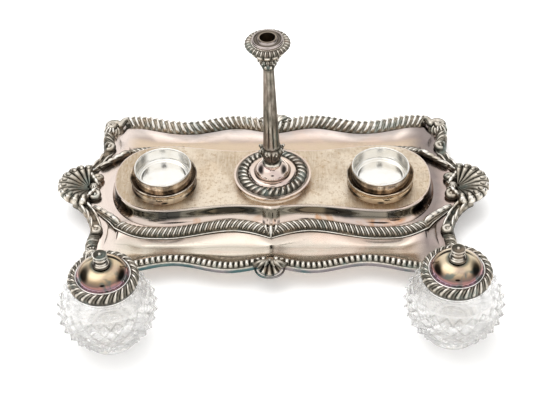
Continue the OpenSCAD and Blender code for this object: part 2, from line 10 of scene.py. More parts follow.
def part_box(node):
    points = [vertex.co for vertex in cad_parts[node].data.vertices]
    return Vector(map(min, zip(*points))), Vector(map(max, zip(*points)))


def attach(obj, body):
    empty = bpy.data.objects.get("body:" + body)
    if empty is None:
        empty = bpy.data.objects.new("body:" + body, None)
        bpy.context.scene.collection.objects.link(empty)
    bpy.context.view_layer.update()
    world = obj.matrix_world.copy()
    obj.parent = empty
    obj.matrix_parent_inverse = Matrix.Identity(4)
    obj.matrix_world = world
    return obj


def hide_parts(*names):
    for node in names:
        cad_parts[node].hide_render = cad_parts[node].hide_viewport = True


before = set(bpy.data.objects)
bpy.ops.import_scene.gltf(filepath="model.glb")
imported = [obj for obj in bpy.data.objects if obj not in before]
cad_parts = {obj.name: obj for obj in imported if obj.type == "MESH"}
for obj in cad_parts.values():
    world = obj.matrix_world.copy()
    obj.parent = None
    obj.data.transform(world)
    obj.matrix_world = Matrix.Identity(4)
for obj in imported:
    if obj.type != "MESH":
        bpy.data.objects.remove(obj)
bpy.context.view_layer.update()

MM = 0.001
SIDES = {"left": -1, "right": 1}
ENDS = {"front": -1, "back": 1}


def node_centre(node):
    """Middle of a CAD node's box, in millimetres."""
    low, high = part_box(node)
    return np.array((low + high) / 2) / MM


TRAY_Y = node_centre("tray_pan")[1]
STICK = node_centre("taper_seat")
HOLDERS = {side: node_centre("holder_cup_" + side) for side in SIDES}
BOTTLES = {side: node_centre("bottle_glass_" + side) for side in SIDES}


# ---------------------------------------------------------------- small maths

def ease(t):
    t = np.clip(t, 0, 1)
    return t * t * (3 - 2 * t)


def mix(a, b, t):
    return a + (b - a) * t


def fract(x):
    return x - np.floor(x)


def lobe(x):
    """A row of round lobes with sharp grooves between them: 0 in a groove, 1 on a crest."""
    return np.sqrt(np.maximum(0, 1 - (2 * fract(x) - 1) ** 2))


def lobe_and_reed(x):
    """Wide lobes with a lower, thinner reed between them."""
    f, wide = fract(x), 0.58
    fat = np.sqrt(np.maximum(0, 1 - (2 * f / wide - 1) ** 2))
    thin = 0.72 * np.sqrt(np.maximum(0, 1 - (2 * (f - wide) / (1 - wide) - 1) ** 2))
    return np.where(f < wide, fat, thin)


def wide_and_narrow(x):
    """Round lobes with a flat groove between them, a fifth of their pitch wide."""
    f = fract(x)
    return np.maximum(0, np.sin(np.pi * np.clip(f / 0.8, 0, 1))) ** 0.55


def polar(centre, r, turn, z):
    """Points at radius r and angle turn about a centre, at height z."""
    return np.stack([centre[0] + r * np.cos(turn), centre[1] + r * np.sin(turn), z], -1)


def spline(points, steps):
    """A smooth curve through given points."""
    p = np.array(points, float)
    out = []
    for i in range(len(p) - 1):
        a, b, c, d = p[max(0, i - 1)], p[i], p[i + 1], p[min(len(p) - 1, i + 2)]
        for t in np.arange(steps) / steps:
            out.append(0.5 * (2 * b + (c - a) * t + (2 * a - 5 * b + 4 * c - d) * t ** 2
                              + (3 * b - a - 3 * c + d) * t ** 3))
    out.append(p[-1])
    return np.array(out)


def rounded(points, radius):
    """A closed profile with its corners rounded off by short arcs."""
    p = np.array(points, float)
    out = []
    for i in range(len(p)):
        a, b, c = p[i - 1], p[i], p[(i + 1) % len(p)]
        la, lc = np.linalg.norm(a - b), np.linalg.norm(c - b)
        r = min(radius, 0.45 * la, 0.45 * lc)
        s, e = b + (a - b) / la * r, b + (c - b) / lc * r
        for t in np.linspace(0, 1, 4):
            out.append((1 - t) ** 2 * s + 2 * t * (1 - t) * b + t * t * e)
    return np.array(out)


# ---------------------------------------------------------------- mesh building

def add_object(name, data):
    made = bpy.data.objects.new(name, data)
    bpy.context.scene.collection.objects.link(made)
    return made


class Shape:
    """Vertices in millimetres, faces, and a value per vertex for rubbing and shading: 0 in a hollow, 1 on a
    rubbed edge.
    Materials darken the metal where the value is low and brighten it where it is high: tarnish with painted
    shade in the hollows, rubbing with painted highlights on the edges."""

    def __init__(self):
        self.verts, self.faces, self.wear, self.count = [], [], [], 0

    def points(self, p, wear):
        p = np.asarray(p, float).reshape(-1, 3)
        first = self.count
        self.verts.append(p)
        self.wear.append(np.broadcast_to(np.asarray(wear, float).reshape(-1), (len(p),)))
        self.count += len(p)
        return first

    def grid(self, p, wear=0.5, wrap_rows=False):
        """A skin over rows of points, each a closed ring. The rows are joined in a ring too with
        wrap_rows; otherwise the first and the last one are capped."""
        p = np.asarray(p, float)
        rows, cols = p.shape[:2]
        wear = np.broadcast_to(wear, (rows, cols))
        index = self.points(p, wear) + np.arange(rows * cols).reshape(rows, cols)
        for i in range(rows if wrap_rows else rows - 1):
            a, b = index[i], index[(i + 1) % rows]
            for j in range(cols):
                k = (j + 1) % cols
                self.faces.append((a[j], a[k], b[k], b[j]))
        if not wrap_rows:
            for row in (0, rows - 1):
                middle = self.points(p[row].mean(0), wear[row].mean())
                for j in range(cols):
                    self.faces.append((middle, index[row][j], index[row][(j + 1) % cols]))

    def build(self, name, material, slot, body, replaces=(), mirrors=((1, 1),), origin=(0, 0), sharp=50):
        """Makes the object. mirrors lists the sign of x and y of each copy about the origin."""
        verts, wear, faces = np.concatenate(self.verts), np.concatenate(self.wear), []
        copies = []
        for n, (sx, sy) in enumerate(mirrors):
            copies.append(verts * (sx, sy, 1) + (origin[0], origin[1], 0))
            faces += [tuple(int(v) + n * len(verts) for v in f) for f in self.faces]
        mesh = bpy.data.meshes.new(name)
        mesh.from_pydata((np.concatenate(copies) * MM).tolist(), [], faces)
        layer = mesh.attributes.new("wear", "FLOAT", "POINT")
        layer.data.foreach_set("value", np.tile(wear, len(mirrors)).astype(np.float32))
        tidy = bmesh.new()
        tidy.from_mesh(mesh)
        bmesh.ops.dissolve_degenerate(tidy, dist=1e-6, edges=tidy.edges)
        bmesh.ops.recalc_face_normals(tidy, faces=tidy.faces)
        tidy.to_mesh(mesh)
        tidy.free()
        mesh.shade_smooth()
        mesh.set_sharp_from_angle(angle=math.radians(sharp))
        mesh.materials.append(material)
        piece = add_object(name, mesh)
        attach(piece, body)
        if replaces:
            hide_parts(*replaces)


def turned(shape, profile, centre, sides=96, wear=0.5, warp=None, ring=True):
    """A ring turned from a closed profile of radius and height, clear of the axis, or else a solid turned
    from an open profile that starts and ends near the axis.
    warp(turn, radius, height) may change the radius and height of every point, and its wear."""
    p = np.asarray(profile, float)
    turn = np.broadcast_to(np.linspace(0, 2 * np.pi, sides, endpoint=False), (len(p), sides))
    r = np.broadcast_to(p[:, :1], turn.shape)
    z = np.broadcast_to(p[:, 1:2], turn.shape)
    wear = np.broadcast_to(np.asarray(wear, float).reshape(-1, 1), turn.shape)
    if warp:
        r, z, wear = warp(turn, r, z)
    shape.grid(polar(centre, r, turn, z), wear, wrap_rows=ring)


def turned_solid(*args, **kwargs):
    """A solid turned from an open profile that starts and ends near the axis."""
    turned(*args, **kwargs, ring=False)


def profile_normals(p):
    """Unit normals of a closed profile, pointing out when it is listed clockwise from its foot."""
    step = np.roll(p, -1, 0) - np.roll(p, 1, 0)
    n = np.stack([-step[:, 1], step[:, 0]], 1)
    return n / np.linalg.norm(n, axis=1, keepdims=True)


def gadroon_profile(profile, depth, crest):
    """Splits a profile of (across, height, lobe share) into points, lobe offsets and wear. High parts
    without lobes are plain wires, rubbed bright."""
    p = np.array(profile, float)
    section, share = p[:, :2], p[:, 2]
    push = profile_normals(section)
    offset = push[:, None, :] * (share[:, None] * depth * (crest[None, :] - 0.45))[:, :, None]
    rise = (section[:, 1] - section[:, 1].min()) / np.ptp(section[:, 1])
    worn = 0.08 + 0.16 * rise[:, None] + share[:, None] * crest[None, :] ** 2.2 * (0.25 + 0.5 * rise[:, None])
    plain = (share < 0.04) & (rise > 0.4)
    return section, offset, np.clip(np.where(plain[:, None], 0.82, worn), 0, 1)


def gadroon_ring(shape, centre, profile, count, depth, slant, per_lobe=12, cut=lobe):
    """A ring of slanted lobes. The profile is (radius, height, lobe share), inside to outside and back."""
    sides = count * per_lobe
    phase = np.arange(sides) / per_lobe
    p, offset, worn = gadroon_profile(profile, depth, cut(phase))
    inner, outer = p[:, 0].min(), p[:, 0].max()
    across = (p[:, 0] - inner) / (outer - inner)
    turn = 2 * np.pi / count * (phase[None, :] + slant * across[:, None])
    r, z = p[:, :1] + offset[:, :, 0], p[:, 1:2] + offset[:, :, 1]
    shape.grid(polar(centre, r, turn, z), worn, wrap_rows=True)


def path_frame(route, s):
    """Place and inward normal at distance s along a level route that runs to the right with the
    object's middle on its right-hand side, and the route's length."""
    step = np.diff(route, axis=0)
    length = np.concatenate([[0], np.cumsum(np.linalg.norm(step[:, :2], axis=1))])
    where = np.stack([np.interp(s, length, route[:, k]) for k in range(3)], -1)
    ahead = np.stack([np.interp(s + 0.6, length, route[:, k]) for k in range(2)], -1)
    behind = np.stack([np.interp(s - 0.6, length, route[:, k]) for k in range(2)], -1)
    d = ahead - behind
    d = d / np.maximum(1e-9, np.linalg.norm(d, axis=-1, keepdims=True))
    return where, np.stack([d[..., 1], -d[..., 0]], -1), length[-1]


def beside(route, along, inwards, up):
    """Points beside a route, at the distances along it, moved inwards and up."""
    where, inward, _ = path_frame(route, along)
    return np.stack([where[..., 0] + inward[..., 0] * inwards, where[..., 1] + inward[..., 1] * inwards,
                     where[..., 2] + up], -1)


def gadroon_strip(shape, route, profile, pitch, depth, slant, start=0.0, size=None, per_lobe=10, stop=None,
                  cut=lobe):
    """Slanted lobes along a route. The profile is (distance inwards, height, lobe share)."""
    total = path_frame(route, 0)[2] if stop is None else stop
    lobes = max(1, round((total - start) / pitch))
    phase = np.arange(lobes * per_lobe + 1) / per_lobe
    p, offset, worn = gadroon_profile(profile, depth, cut(phase))
    width = p[:, 0].max()
    along = start + (total - start) * phase[:, None] / lobes - slant * (p[:, 0] / width)[None, :]
    along = np.maximum(along, 0.02)
    grow = np.ones(len(phase)) if size is None else size(phase / lobes)
    inwards = (p[None, :, 0] + offset[:, :, 0].T) * grow[:, None]
    up = p[0, 1] + (p[None, :, 1] - p[0, 1] + offset[:, :, 1].T) * grow[:, None]
    shape.grid(beside(route, along, inwards, up), worn.T)


def tube(shape, route, radii, sides=12, wear=0.7, flat=1.0):
    """A tapering round bar along a route; flat squeezes it in height."""
    p = np.asarray(route, float)
    radii = np.broadcast_to(radii, (len(p),))
    d = np.gradient(p, axis=0)
    d = d / np.linalg.norm(d, axis=1, keepdims=True)
    side = np.cross(d, [0, 0, 1.0])
    side = side / np.maximum(1e-9, np.linalg.norm(side, axis=1, keepdims=True))
    up = np.cross(side, d)
    turn = np.linspace(0, 2 * np.pi, sides, endpoint=False)
    ring = side[:, None] * np.cos(turn)[None, :, None] + flat * up[:, None] * np.sin(turn)[None, :, None]
    worn = np.broadcast_to(wear * (0.12 + 0.8 * np.maximum(0, np.sin(turn)) ** 1.3), (len(p), sides))
    shape.grid(p[:, None] + ring * radii[:, None, None], worn)


def frond(shape, route, radius, first, last, power=1.0, tip=0.1, **bar):
    """A bar along a route that swells and thins as a stretch of a sine wave does."""
    swell = np.sin(np.pi * mix(first, last, np.linspace(0, 1, len(route)))) ** power
    tube(shape, route, radius * swell + tip, **bar)


def spiral(centre, radius, start, turns, inner=0.25, lift=0.0, steps=26):
    """A flat curl about a centre; lift raises its eye."""
    t = np.linspace(0, 1, steps)
    a = np.radians(start) + 2 * np.pi * turns * t
    r = radius * mix(1, inner, t ** 0.85)
    return polar(centre, r, a, centre[2] + lift * t ** 2)


def dome_of_lobes(shape, centre, radius, low, top, lobes, twist, depth, sides=84, rows=14):
    """A knob whose skin is cut into twisted lobes that meet at its top."""
    a = np.linspace(0, 88, rows)
    rise = np.sin(np.radians(a))
    profile = np.concatenate([[[0.6 * radius, low], [radius, low + 0.3]],
                              np.stack([radius * np.cos(np.radians(a)), mix(low + 1.5, top, rise)], 1)])

    def warp(turn, r, z):
        t = (z - low) / (top - low)
        crest = lobe(turn / (2 * np.pi) * lobes + twist * t)
        worn = 0.10 + 0.75 * crest ** 1.6 * (0.25 + 0.75 * t)
        return r + depth * (crest - 0.5) * np.minimum(1, r / radius * 1.5), z, worn
    turned_solid(shape, profile, centre, sides, warp=warp)


def fan(shape, root, spread, reach, heights, ribs, depth, lip, facing=0.0):
    """A scallop: ribs that spread from a root and a lip that rolls over.
    reach(angle share) is the length of each rib, and heights lists the height along it."""
    per_rib, inner, thick = 14, 0.08, 1.6
    count = ribs * per_rib + 1
    share = np.linspace(-1, 1, count)
    angle = np.radians(spread) * share + facing
    crest = lobe(np.linspace(0, ribs, count))
    length = reach(share) * (1 + 0.07 * (crest - 0.6))
    t = np.linspace(inner, 1, 18)
    z = np.interp(t, np.linspace(0, 1, len(heights)), heights)
    rows, tall, worn = [], [], []
    for i, part in enumerate(t):
        grow = min(1, part * 2.0)
        rows.append(length * part)
        tall.append(z[i] + depth * (crest - 0.5) * grow)
        worn.append(0.05 + (0.25 + 0.60 * part ** 2) * crest ** 1.7)
    for a in (25, 50, 75, 100, 125, 150, 172):
        turn = math.radians(a)
        rows.append(length + lip * 0.8 * math.sin(turn))
        tall.append(z[-1] - lip * (1 - math.cos(turn)) + depth * (crest - 0.5) * mix(1, 0.6, a / 172))
        worn.append(0.05 + mix(0.9, 0.45, a / 172) * crest ** 1.7)
    for part in (0.96, 0.6, inner):
        rows.append(length * part)
        tall.append(np.interp(part, t, z) - (2 * lip if part > 0.9 else thick + 0.4) + 0 * crest)
        worn.append(0.10 + 0 * crest)
    r, z, worn = np.array(rows).T, np.array(tall).T, np.array(worn).T
    x = root[0] + r * np.cos(angle)[:, None]
    y = root[1] + r * np.sin(angle)[:, None]
    shape.grid(np.stack([x, y, z], -1), worn)


# ---------------------------------------------------------------- the tray's outlines, for x and y above zero

APRON_Z, TROUGH_Z, DECK_Z, PLATFORM_Z = 12.5, 9.8, 17.5, 28.5
SHEET, RIDGE = 1.2, 0.7
BORDER_W, BAND_W = 9.3, 7.4
EDGE_Y, WAVE_DEPTH, WAVE_CREST_X, WAVE_LENGTH = 79, 3.5, 29, 77
CUSP_Y, DIP_Y, LOBE_Y, BAND_END_Y = 48.6, 41, 49, 38
DIP_X, LOBE_X, BAND_END_X = 28, 75, 116
WAIST_Y, SHOULDER_Y, WAIST_X = 29.4, 34.8, 24
ROUND_FROM_X, TOP_END_X, FOOT_END_X = 80, 114.7, 117.4


def edge_y(x):
    """Outer edge of the tray along its front and back."""
    return EDGE_Y + WAVE_DEPTH * np.cos(2 * np.pi * (x - WAVE_CREST_X) / WAVE_LENGTH)


def band_y(x):
    """Outer edge of the gadroon band round the deck: a cusp at the middle, a dip and a wide lobe."""
    near = mix(CUSP_Y, DIP_Y, np.sin(np.pi / 2 * np.clip(x / DIP_X, 0, 1)))
    wide = mix(DIP_Y, LOBE_Y, ease((x - DIP_X) / (LOBE_X - DIP_X)))
    far = mix(LOBE_Y, BAND_END_Y, np.clip((x - LOBE_X) / (BAND_END_X - LOBE_X), 0, 1) ** 3)
    return np.where(x < DIP_X, near, np.where(x < LOBE_X, wide, far))


def platform_y(x):
    """Edge of the platform's top: a waist, two shoulders and round ends."""
    round_off = np.clip((x - ROUND_FROM_X) / (TOP_END_X - ROUND_FROM_X), 0, 1)
    end = SHOULDER_Y * np.maximum(0, 1 - round_off ** 2.2) ** (1 / 2.2)
    waist = WAIST_Y + 1.6 * (1 - np.minimum(x, WAIST_X) / WAIST_X) ** 2
    shoulder = mix(WAIST_Y, SHOULDER_Y, ease((x - WAIST_X) / (ROUND_FROM_X - WAIST_X)))
    return np.where(x < WAIST_X, waist, np.where(x < ROUND_FROM_X, shoulder, end))


def side_x(y):
    """Outer edge across an end: past the knob, in to the waist and out to the shell."""
    return np.where(y > 68, mix(127.5, 118, ease((y - 68) / 10)),
                    np.where(y > 46, mix(124.5, 127.5, ease((y - 46) / 20)),
                             124.5 + 13 * ease((46 - y) / 32)))


def whole(quarter):
    """A closed ring, counter-clockwise, from its quarter that runs from x = 0 round to y = 0."""
    q = quarter[::-1]
    back = quarter[1:] * (-1, 1, 1)
    left = back[::-1][1:] * (1, -1, 1)
    front = quarter[:-1] * (1, -1, 1)
    return np.concatenate([q, back, left, front[1:] if len(front) > 1 else front])


def pan_quarter(y_of, x_of, z_side, z_corner, z_end, corner_x):
    """A quarter of one ring of the tray's sheet: along the front to corner_x, then round the end."""
    along, across = 64, 44
    x = corner_x * np.arange(along + 1) / along
    y = y_of(x)
    z = mix(z_side, z_corner, ease((x - 90) / (corner_x - 90)))
    t = np.arange(1, across + 1) / across
    ey = y[-1] * (1 - t)
    ez = mix(z_corner, z_end, ease(2.2 * t))
    return np.concatenate([np.stack([x, y, z], 1), np.stack([x_of(t, ey), ey, ez], 1)])


# The rings of the sheet, from the edge in: the edge, the border's inner side, the trough floor's two sides
# and the band's two sides.
PAN_RINGS = [
    pan_quarter(lambda x: edge_y(x) - 1.6, lambda t, y: side_x(y), 13, 13, 16.6, 118),
    pan_quarter(lambda x: edge_y(x) - BORDER_W, lambda t, y: mix(114.5, side_x(y) - 7.5, ease(6 * t)),
                13.6, 14.5, DECK_Z, 114.5),
    pan_quarter(lambda x: 60 + 0 * x, lambda t, y: mix(111.5, 128, ease(t)),
                TROUGH_Z, 14, DECK_Z, 111.5),
    pan_quarter(lambda x: 52.6 + 0 * x, lambda t, y: mix(110.5, 125.8, ease(t)),
                TROUGH_Z, 14.5, DECK_Z, 110.5),
    pan_quarter(band_y, lambda t, y: mix(110, 123, ease(t)), 13, 16, DECK_Z, 110),
    pan_quarter(lambda x: band_y(x) - BAND_W, lambda t, y: mix(108, 119.5, ease(t)),
                DECK_Z, DECK_Z, DECK_Z, 108)]


def tray_pan(metal):
    """The sheet-metal tray: two pen troughs with curved walls and a low ridge across their middle, and
    the deck between and beyond them.
    Its wear value counts the rings instead, from the outer edge (0) to the middle (1)."""
    spans = [(2, 1.0), (9, 1.7), (3, 1.0), (9, None), (3, 1.0)]
    rows, place = [PAN_RINGS[0]], [0.0]
    for k, (steps, power) in enumerate(spans):
        a, b = PAN_RINGS[k], PAN_RINGS[k + 1]
        for i in range(1, steps + 1):
            t = i / steps
            row = mix(a, b, t)
            rise = t ** 1.6 if power is None else 1 - (1 - t) ** power
            row[:, 2] = mix(a[:, 2], b[:, 2], rise)
            if 1 <= k <= 3:
                across = (k - 1 + t) / 3
                row[:, 2] += RIDGE * np.exp(-np.abs(row[:, 0]) / 2.2) * math.sin(math.pi * across)
            rows.append(row)
            place.append((k + t) / 7)
    rows = [whole(r) for r in rows]
    for share in (0.8, 0.45, 0.12, 0.01):
        rows.append(rows[-1] * (share, share, 1))
        place.append(0.85)
    under = [r - (0, 0, SHEET) for r in rows[::-1]]
    shape = Shape()
    shape.grid(np.stack(rows + under), np.array(place + place[::-1])[:, None], wrap_rows=True)
    shape.build("tray_sheet", metal, "polished_plate", "inkstand", ["tray_pan"], origin=(0, TRAY_Y), sharp=70)


# ---------------------------------------------------------------- castings round the tray

def cast_on_tray(shape, name, metal, node, signs, sharp=50):
    """Makes a casting of the tray in place of its CAD node, one copy for each pair of signs."""
    shape.build(name, metal, "aged_casting", "inkstand", node, mirrors=signs, origin=(0, TRAY_Y), sharp=sharp)


BORDER = [(0.2, 12.6, 0), (-0.2, 13.2, 0), (0.1, 14.2, 0), (0.2, 15.6, 0), (0.0, 16.6, 0), (0.1, 17.3, 0.1),
          (0.5, 18.1, 0.6), (1.2, 18.8, 1), (2.2, 19.3, 1), (3.4, 19.6, 1), (4.7, 19.3, 1), (6.0, 18.4, 1),
          (7.3, 17.1, 1), (8.3, 15.8, 0.9), (8.9, 15.0, 0.5), (9.3, 14.5, 0.1), (9.7, 14.0, 0),
          (9.5, 13.2, 0), (5.0, 12.9, 0), (1.6, 12.6, 0)]
FRONT_BORDER = (BORDER[:9] + [(3.2, 19.4, 1), (4.2, 19.2, 0.9), (5.0, 18.8, 0.4), (5.6, 18.4, 0),
                              (6.4, 17.8, 0), (7.3, 16.9, 0), (8.3, 15.8, 0), (8.9, 15.0, 0)] + BORDER[15:])
BAND = [(0, 12.9, 0), (-0.2, 13.7, 0), (0.2, 14.5, 0), (0.7, 15.0, 0.2), (0.9, 15.8, 0.7), (1.4, 16.8, 1),
        (2.3, 17.8, 1), (3.5, 18.6, 1), (4.8, 19.0, 1), (6.0, 18.9, 1), (6.9, 18.4, 0.9), (7.5, 17.8, 0.3),
        (7.7, 17.0, 0), (4.0, 15.0, 0)]
BOSS_X = 6.0
KNOB = (124.8, 70)
FOOT_AT = (98, 56.3)
RIB_PITCH, RIBS_TO, LEAF_FROM = 5.2, 15, 27
BAR_LENGTH = 24
SHELL_X = 134.7
STRIP_Z = 12.7
SIDE_ROUTE = [[128.4, 67, 0], [128.6, 58, 0.4], [127.6, 50, 0], [126.8, 42, 0], [129.5, 33, 0.5],
              [133.4, 25.5, 1], [138.6, 19.5, 1.6], [144.2, 15.5, 2]]


def border_route():
    x = np.linspace(0, 118, 240)
    return np.stack([x, edge_y(x), 0 * x], 1)


def band_route():
    x = np.linspace(0, 112, 220)
    lift = 2.6 * ease((x - 90) / 22)
    tail = spline([[112, float(band_y(112)), 2.6], [115.8, 36.6, 3.7], [120.3, 32.2, 4],
                   [125.2, 27.2, 4.1], [129.8, 22.6, 4.1]], 12)
    return np.concatenate([np.stack([x, band_y(x), lift], 1)[:-1], tail])


def border(end, metal):
    """Border along the front, with short lobes over a plain slope, or the back, with long leaning ones."""
    shape = Shape()
    if end == "front":
        gadroon_strip(shape, border_route(), FRONT_BORDER, pitch=4.0, depth=1.7, slant=1.2, start=2.2,
                      per_lobe=18)
    else:
        gadroon_strip(shape, border_route(), BORDER, pitch=4.6, depth=1.7, slant=6.2, start=BOSS_X - 1.5,
                      per_lobe=20, cut=wide_and_narrow)
    s = ENDS[end]
    cast_on_tray(shape, "gadroon_border_" + end, metal, ["border_" + end], ((1, s), (-1, s)))


def deck_band(end, metal):
    """Finer gadroon band at the foot of the platform, ending in leaves and a bar that runs to the shell,
    with a wire along its foot."""
    shape = Shape()
    route = band_route()
    total = path_frame(route, 0)[2]
    stop = total - BAR_LENGTH
    gadroon_strip(shape, route, BAND, pitch=3.8, depth=1.2, slant=6.0, start=2.2, stop=stop,
                  size=lambda t: mix(1, 0.84, ease((t - 0.8) / 0.2)), cut=lobe_and_reed, per_lobe=14)
    for k in range(4):
        t = np.linspace(0, 1, 18)
        along = np.minimum(total - 0.1, stop - 3.5 + 5.6 * k + 10.5 * t)
        leaf = beside(route, along, mix(4.6, 2.0, t) - 0.5 * k,
                      15.6 + 1.5 * np.sin(np.pi * t * 0.8) - 0.25 * k)
        frond(shape, leaf, mix(2.4, 1.5, k / 3), 0.10, 0.90, 0.8, sides=14, wear=0.95)
        vein = leaf + (0, 0, 0.9)
        vein[:, :2] += path_frame(route, along)[1]
        frond(shape, vein, mix(1.1, 0.7, k / 3), 0.12, 0.86, sides=8, wear=1)
    t = np.linspace(0, 1, 60)
    bar = beside(route, np.linspace(stop - 4, total - 0.1, 60), mix(2.4, 1.4, ease(t * 2)), 14.6)
    tube(shape, bar, 1.35, sides=14, wear=0.7)
    t = np.linspace(0, 1, 200)
    wire = beside(route, np.linspace(0.1, total, 200), -0.25, 13.9 + 0.5 * ease((t - 0.7) / 0.2))
    tube(shape, wire, 0.6, sides=8, wear=1.1)
    s = ENDS[end]
    cast_on_tray(shape, "deck_band_" + end + "_gadroon", metal, ["deck_band_" + end], ((1, s), (-1, s)))


def deck_leaf(end, metal):
    """A pointed leaf of three blades over the deck band's cusp."""
    leaf = Shape()
    t = np.linspace(0, 1, 14)
    for sx, spread in ((0, 0), (1, 1), (-1, 1)):
        y = mix(40.4, 50.4 - 4.2 * spread, t)
        x = sx * (0.6 + 4.2 * np.sin(np.pi * (0.15 + 0.7 * t)) * (1 - 0.5 * t))
        z = 19.0 + 1.2 * np.sin(np.pi * t * 0.8) - 4.2 * t ** 2
        frond(leaf, np.stack([x, y, z], 1), 1.9 - 0.5 * spread, 0.22, 0.97, tip=0.12, sides=12, wear=1.0)
    cast_on_tray(leaf, "deck_leaf_" + end, metal, (), ((1, ENDS[end]),))


def side_scroll(corner, signs, metal):
    """The strip from a corner knob to the shell: fat ribs, a C-scroll with an eye, then a long split leaf."""
    shape = Shape()
    route = spline(SIDE_ROUTE, 16)
    total = path_frame(route, 0)[2]
    s = np.linspace(0, total - 0.2, 170)
    profile = np.array([(-2.0, STRIP_Z), (-2.5, 14.2), (-2.5, 15.8), (-2.0, 17.2), (-1.0, 18.4), (0.2, 19.0),
                        (1.4, 19.1), (2.6, 18.8), (3.8, 18.1), (5.0, 17.0), (5.9, 15.8), (6.2, 14.6),
                        (5.9, 13.4), (2.0, 12.9)])
    top = np.array([0, 0.2, 0.6, 0.9, 1, 1, 1, 1, 1, 0.9, 0.6, 0.2, 0, 0])
    past = ease((s - RIBS_TO) / 3)[:, None]
    rope = lobe_and_reed(s / RIB_PITCH)[:, None] * (1 - past) + 0.4 * past
    leaf = ease((s - LEAF_FROM) / 6)
    waves = 0.9 * np.abs(np.sin(np.pi * (s - LEAF_FROM) / 6.5)) ** 0.7 * leaf
    grow = 0.90 + 0.2 * np.sin(np.pi * s / total) - 0.12 * leaf
    inwards = profile[None, :, 0] * (grow + 0.2 * waves)[:, None]
    split = np.exp(-((profile[:, 0] - 1.8) / 0.9) ** 2)
    worn = (0.05 + 0.70 * top[None, :] * mix(rope ** 1.6, 0.5, leaf[:, None])
            - 0.6 * leaf[:, None] * split[None, :])
    worn += 0.35 * top[None, :] * (waves - 0.5 * leaf)[:, None]
    lean = 2.6 * (profile[:, 0] - 2) / 4
    places = s[:, None] + lean[None, :] * (1 - leaf)[:, None]
    up = STRIP_Z + (profile[None, :, 1] - STRIP_Z) * grow[:, None]
    up = up + top[None, :] * ((rope - 0.6) * 2.2) + top[None, :] * (0.7 * (waves - 0.5 * leaf))[:, None]
    up = up - 1.7 * leaf[:, None] * split[None, :]
    shape.grid(beside(route, np.clip(places, 0.02, total), inwards, up), np.clip(worn, 0, 1))
    eye = (*beside(route, 21.5, 1.9, 0)[:2], 18.6)
    tube(shape, spiral(eye, 4.0, -70, -0.9, inner=0.35, lift=2.0, steps=40), np.linspace(2.3, 1.8, 40),
         wear=0.75)
    dome_of_lobes(shape, eye, 2.0, 17.6, 21.2, lobes=4, twist=0.5, depth=0.25, sides=32, rows=7)
    for k in range(3):
        t = np.linspace(0, 1, 16)
        for side, size in ((-1, 1.25), (1, 1.15)):
            bar = beside(route, np.minimum(total - 1, 26 + 8.5 * k + 12 * t), 1.7 + side * mix(3.2, 1.6, t),
                         17.0 + 1.3 * np.sin(np.pi * 0.7 * t))
            frond(shape, bar, size, 0.10, 0.92, sides=10, wear=1)
    cast_on_tray(shape, "scrolled_side_" + corner, metal, ["side_scroll_" + corner], (signs,), sharp=60)


def corner_knob(corner, signs, metal):
    """A rolled leaf at a corner: a ribbed cushion under a fat curl that grows out of the border."""
    shape = Shape()
    x, y = KNOB
    dome_of_lobes(shape, KNOB, 7.0, APRON_Z, 19.4, lobes=11, twist=1.6, depth=1.2, sides=132)
    curl = spiral((x - 0.2, y + 0.4, 18.0), 5.4, 170, -0.95, inner=0.3, lift=2.6, steps=56)
    lead = spline([[111.0, 79.6, 17.2], [114.5, 79.4, 17.6], [117.2, 77.0, 17.9], tuple(curl[0])], 8)[:-1]
    route = np.concatenate([lead, curl])
    frond(shape, route, 3.1, 0.18, 0.84, 0.7, tip=0, sides=16, wear=0.72, flat=0.8)
    dome_of_lobes(shape, (x - 0.2, y + 0.4), 2.5, 17.6, 21.6, lobes=5, twist=0.6, depth=0.3, sides=40, rows=8)
    for k in range(6):
        a = math.radians(-100 + 30 * k)
        rib = [[x + (3.0 + 4.0 * u) * math.cos(a), y + (3.0 + 4.0 * u) * math.sin(a) - 1.2,
                20.4 - 5.0 * u ** 2] for u in np.linspace(0, 1, 8)]
        frond(shape, rib, 1.0, 0.2, 0.92, tip=0.15, sides=8, wear=1)
    cast_on_tray(shape, "curled_knob_" + corner, metal, ["corner_knob_" + corner], (signs,), sharp=60)


def shell_handle(side, metal):
    """A scallop shell with ribs that fan from its root and a fat rolled lip of its own, lobe by lobe."""
    shape = Shape()
    fan(shape, (SHELL_X, 0), 92, lambda a: mix(20.4, 17.2, a ** 2), [19.6, 19.6, 20.8, 22.6, 23.8, 24.0],
        ribs=10, depth=2.1, lip=3.1)
    for k in range(10):
        a = math.radians(92) * (-0.9 + 0.2 * k)
        reach = mix(20.4, 17.2, (-0.9 + 0.2 * k) ** 2)
        t = np.linspace(0, 1, 12)
        r = reach * mix(0.80, 1.06, np.sin(t * np.pi / 2) ** 0.9)
        z = 24.6 - 5.4 * t ** 2.2
        route = np.stack([SHELL_X + r * math.cos(a), r * math.sin(a), z], 1)
        frond(shape, route, 2.15, 0.14, 0.88, 0.7, sides=12, wear=0.72, flat=0.75)
    cast_on_tray(shape, "scallop_shell_" + side, metal, ["shell_handle_" + side], ((SIDES[side], 1),),
                 sharp=75)


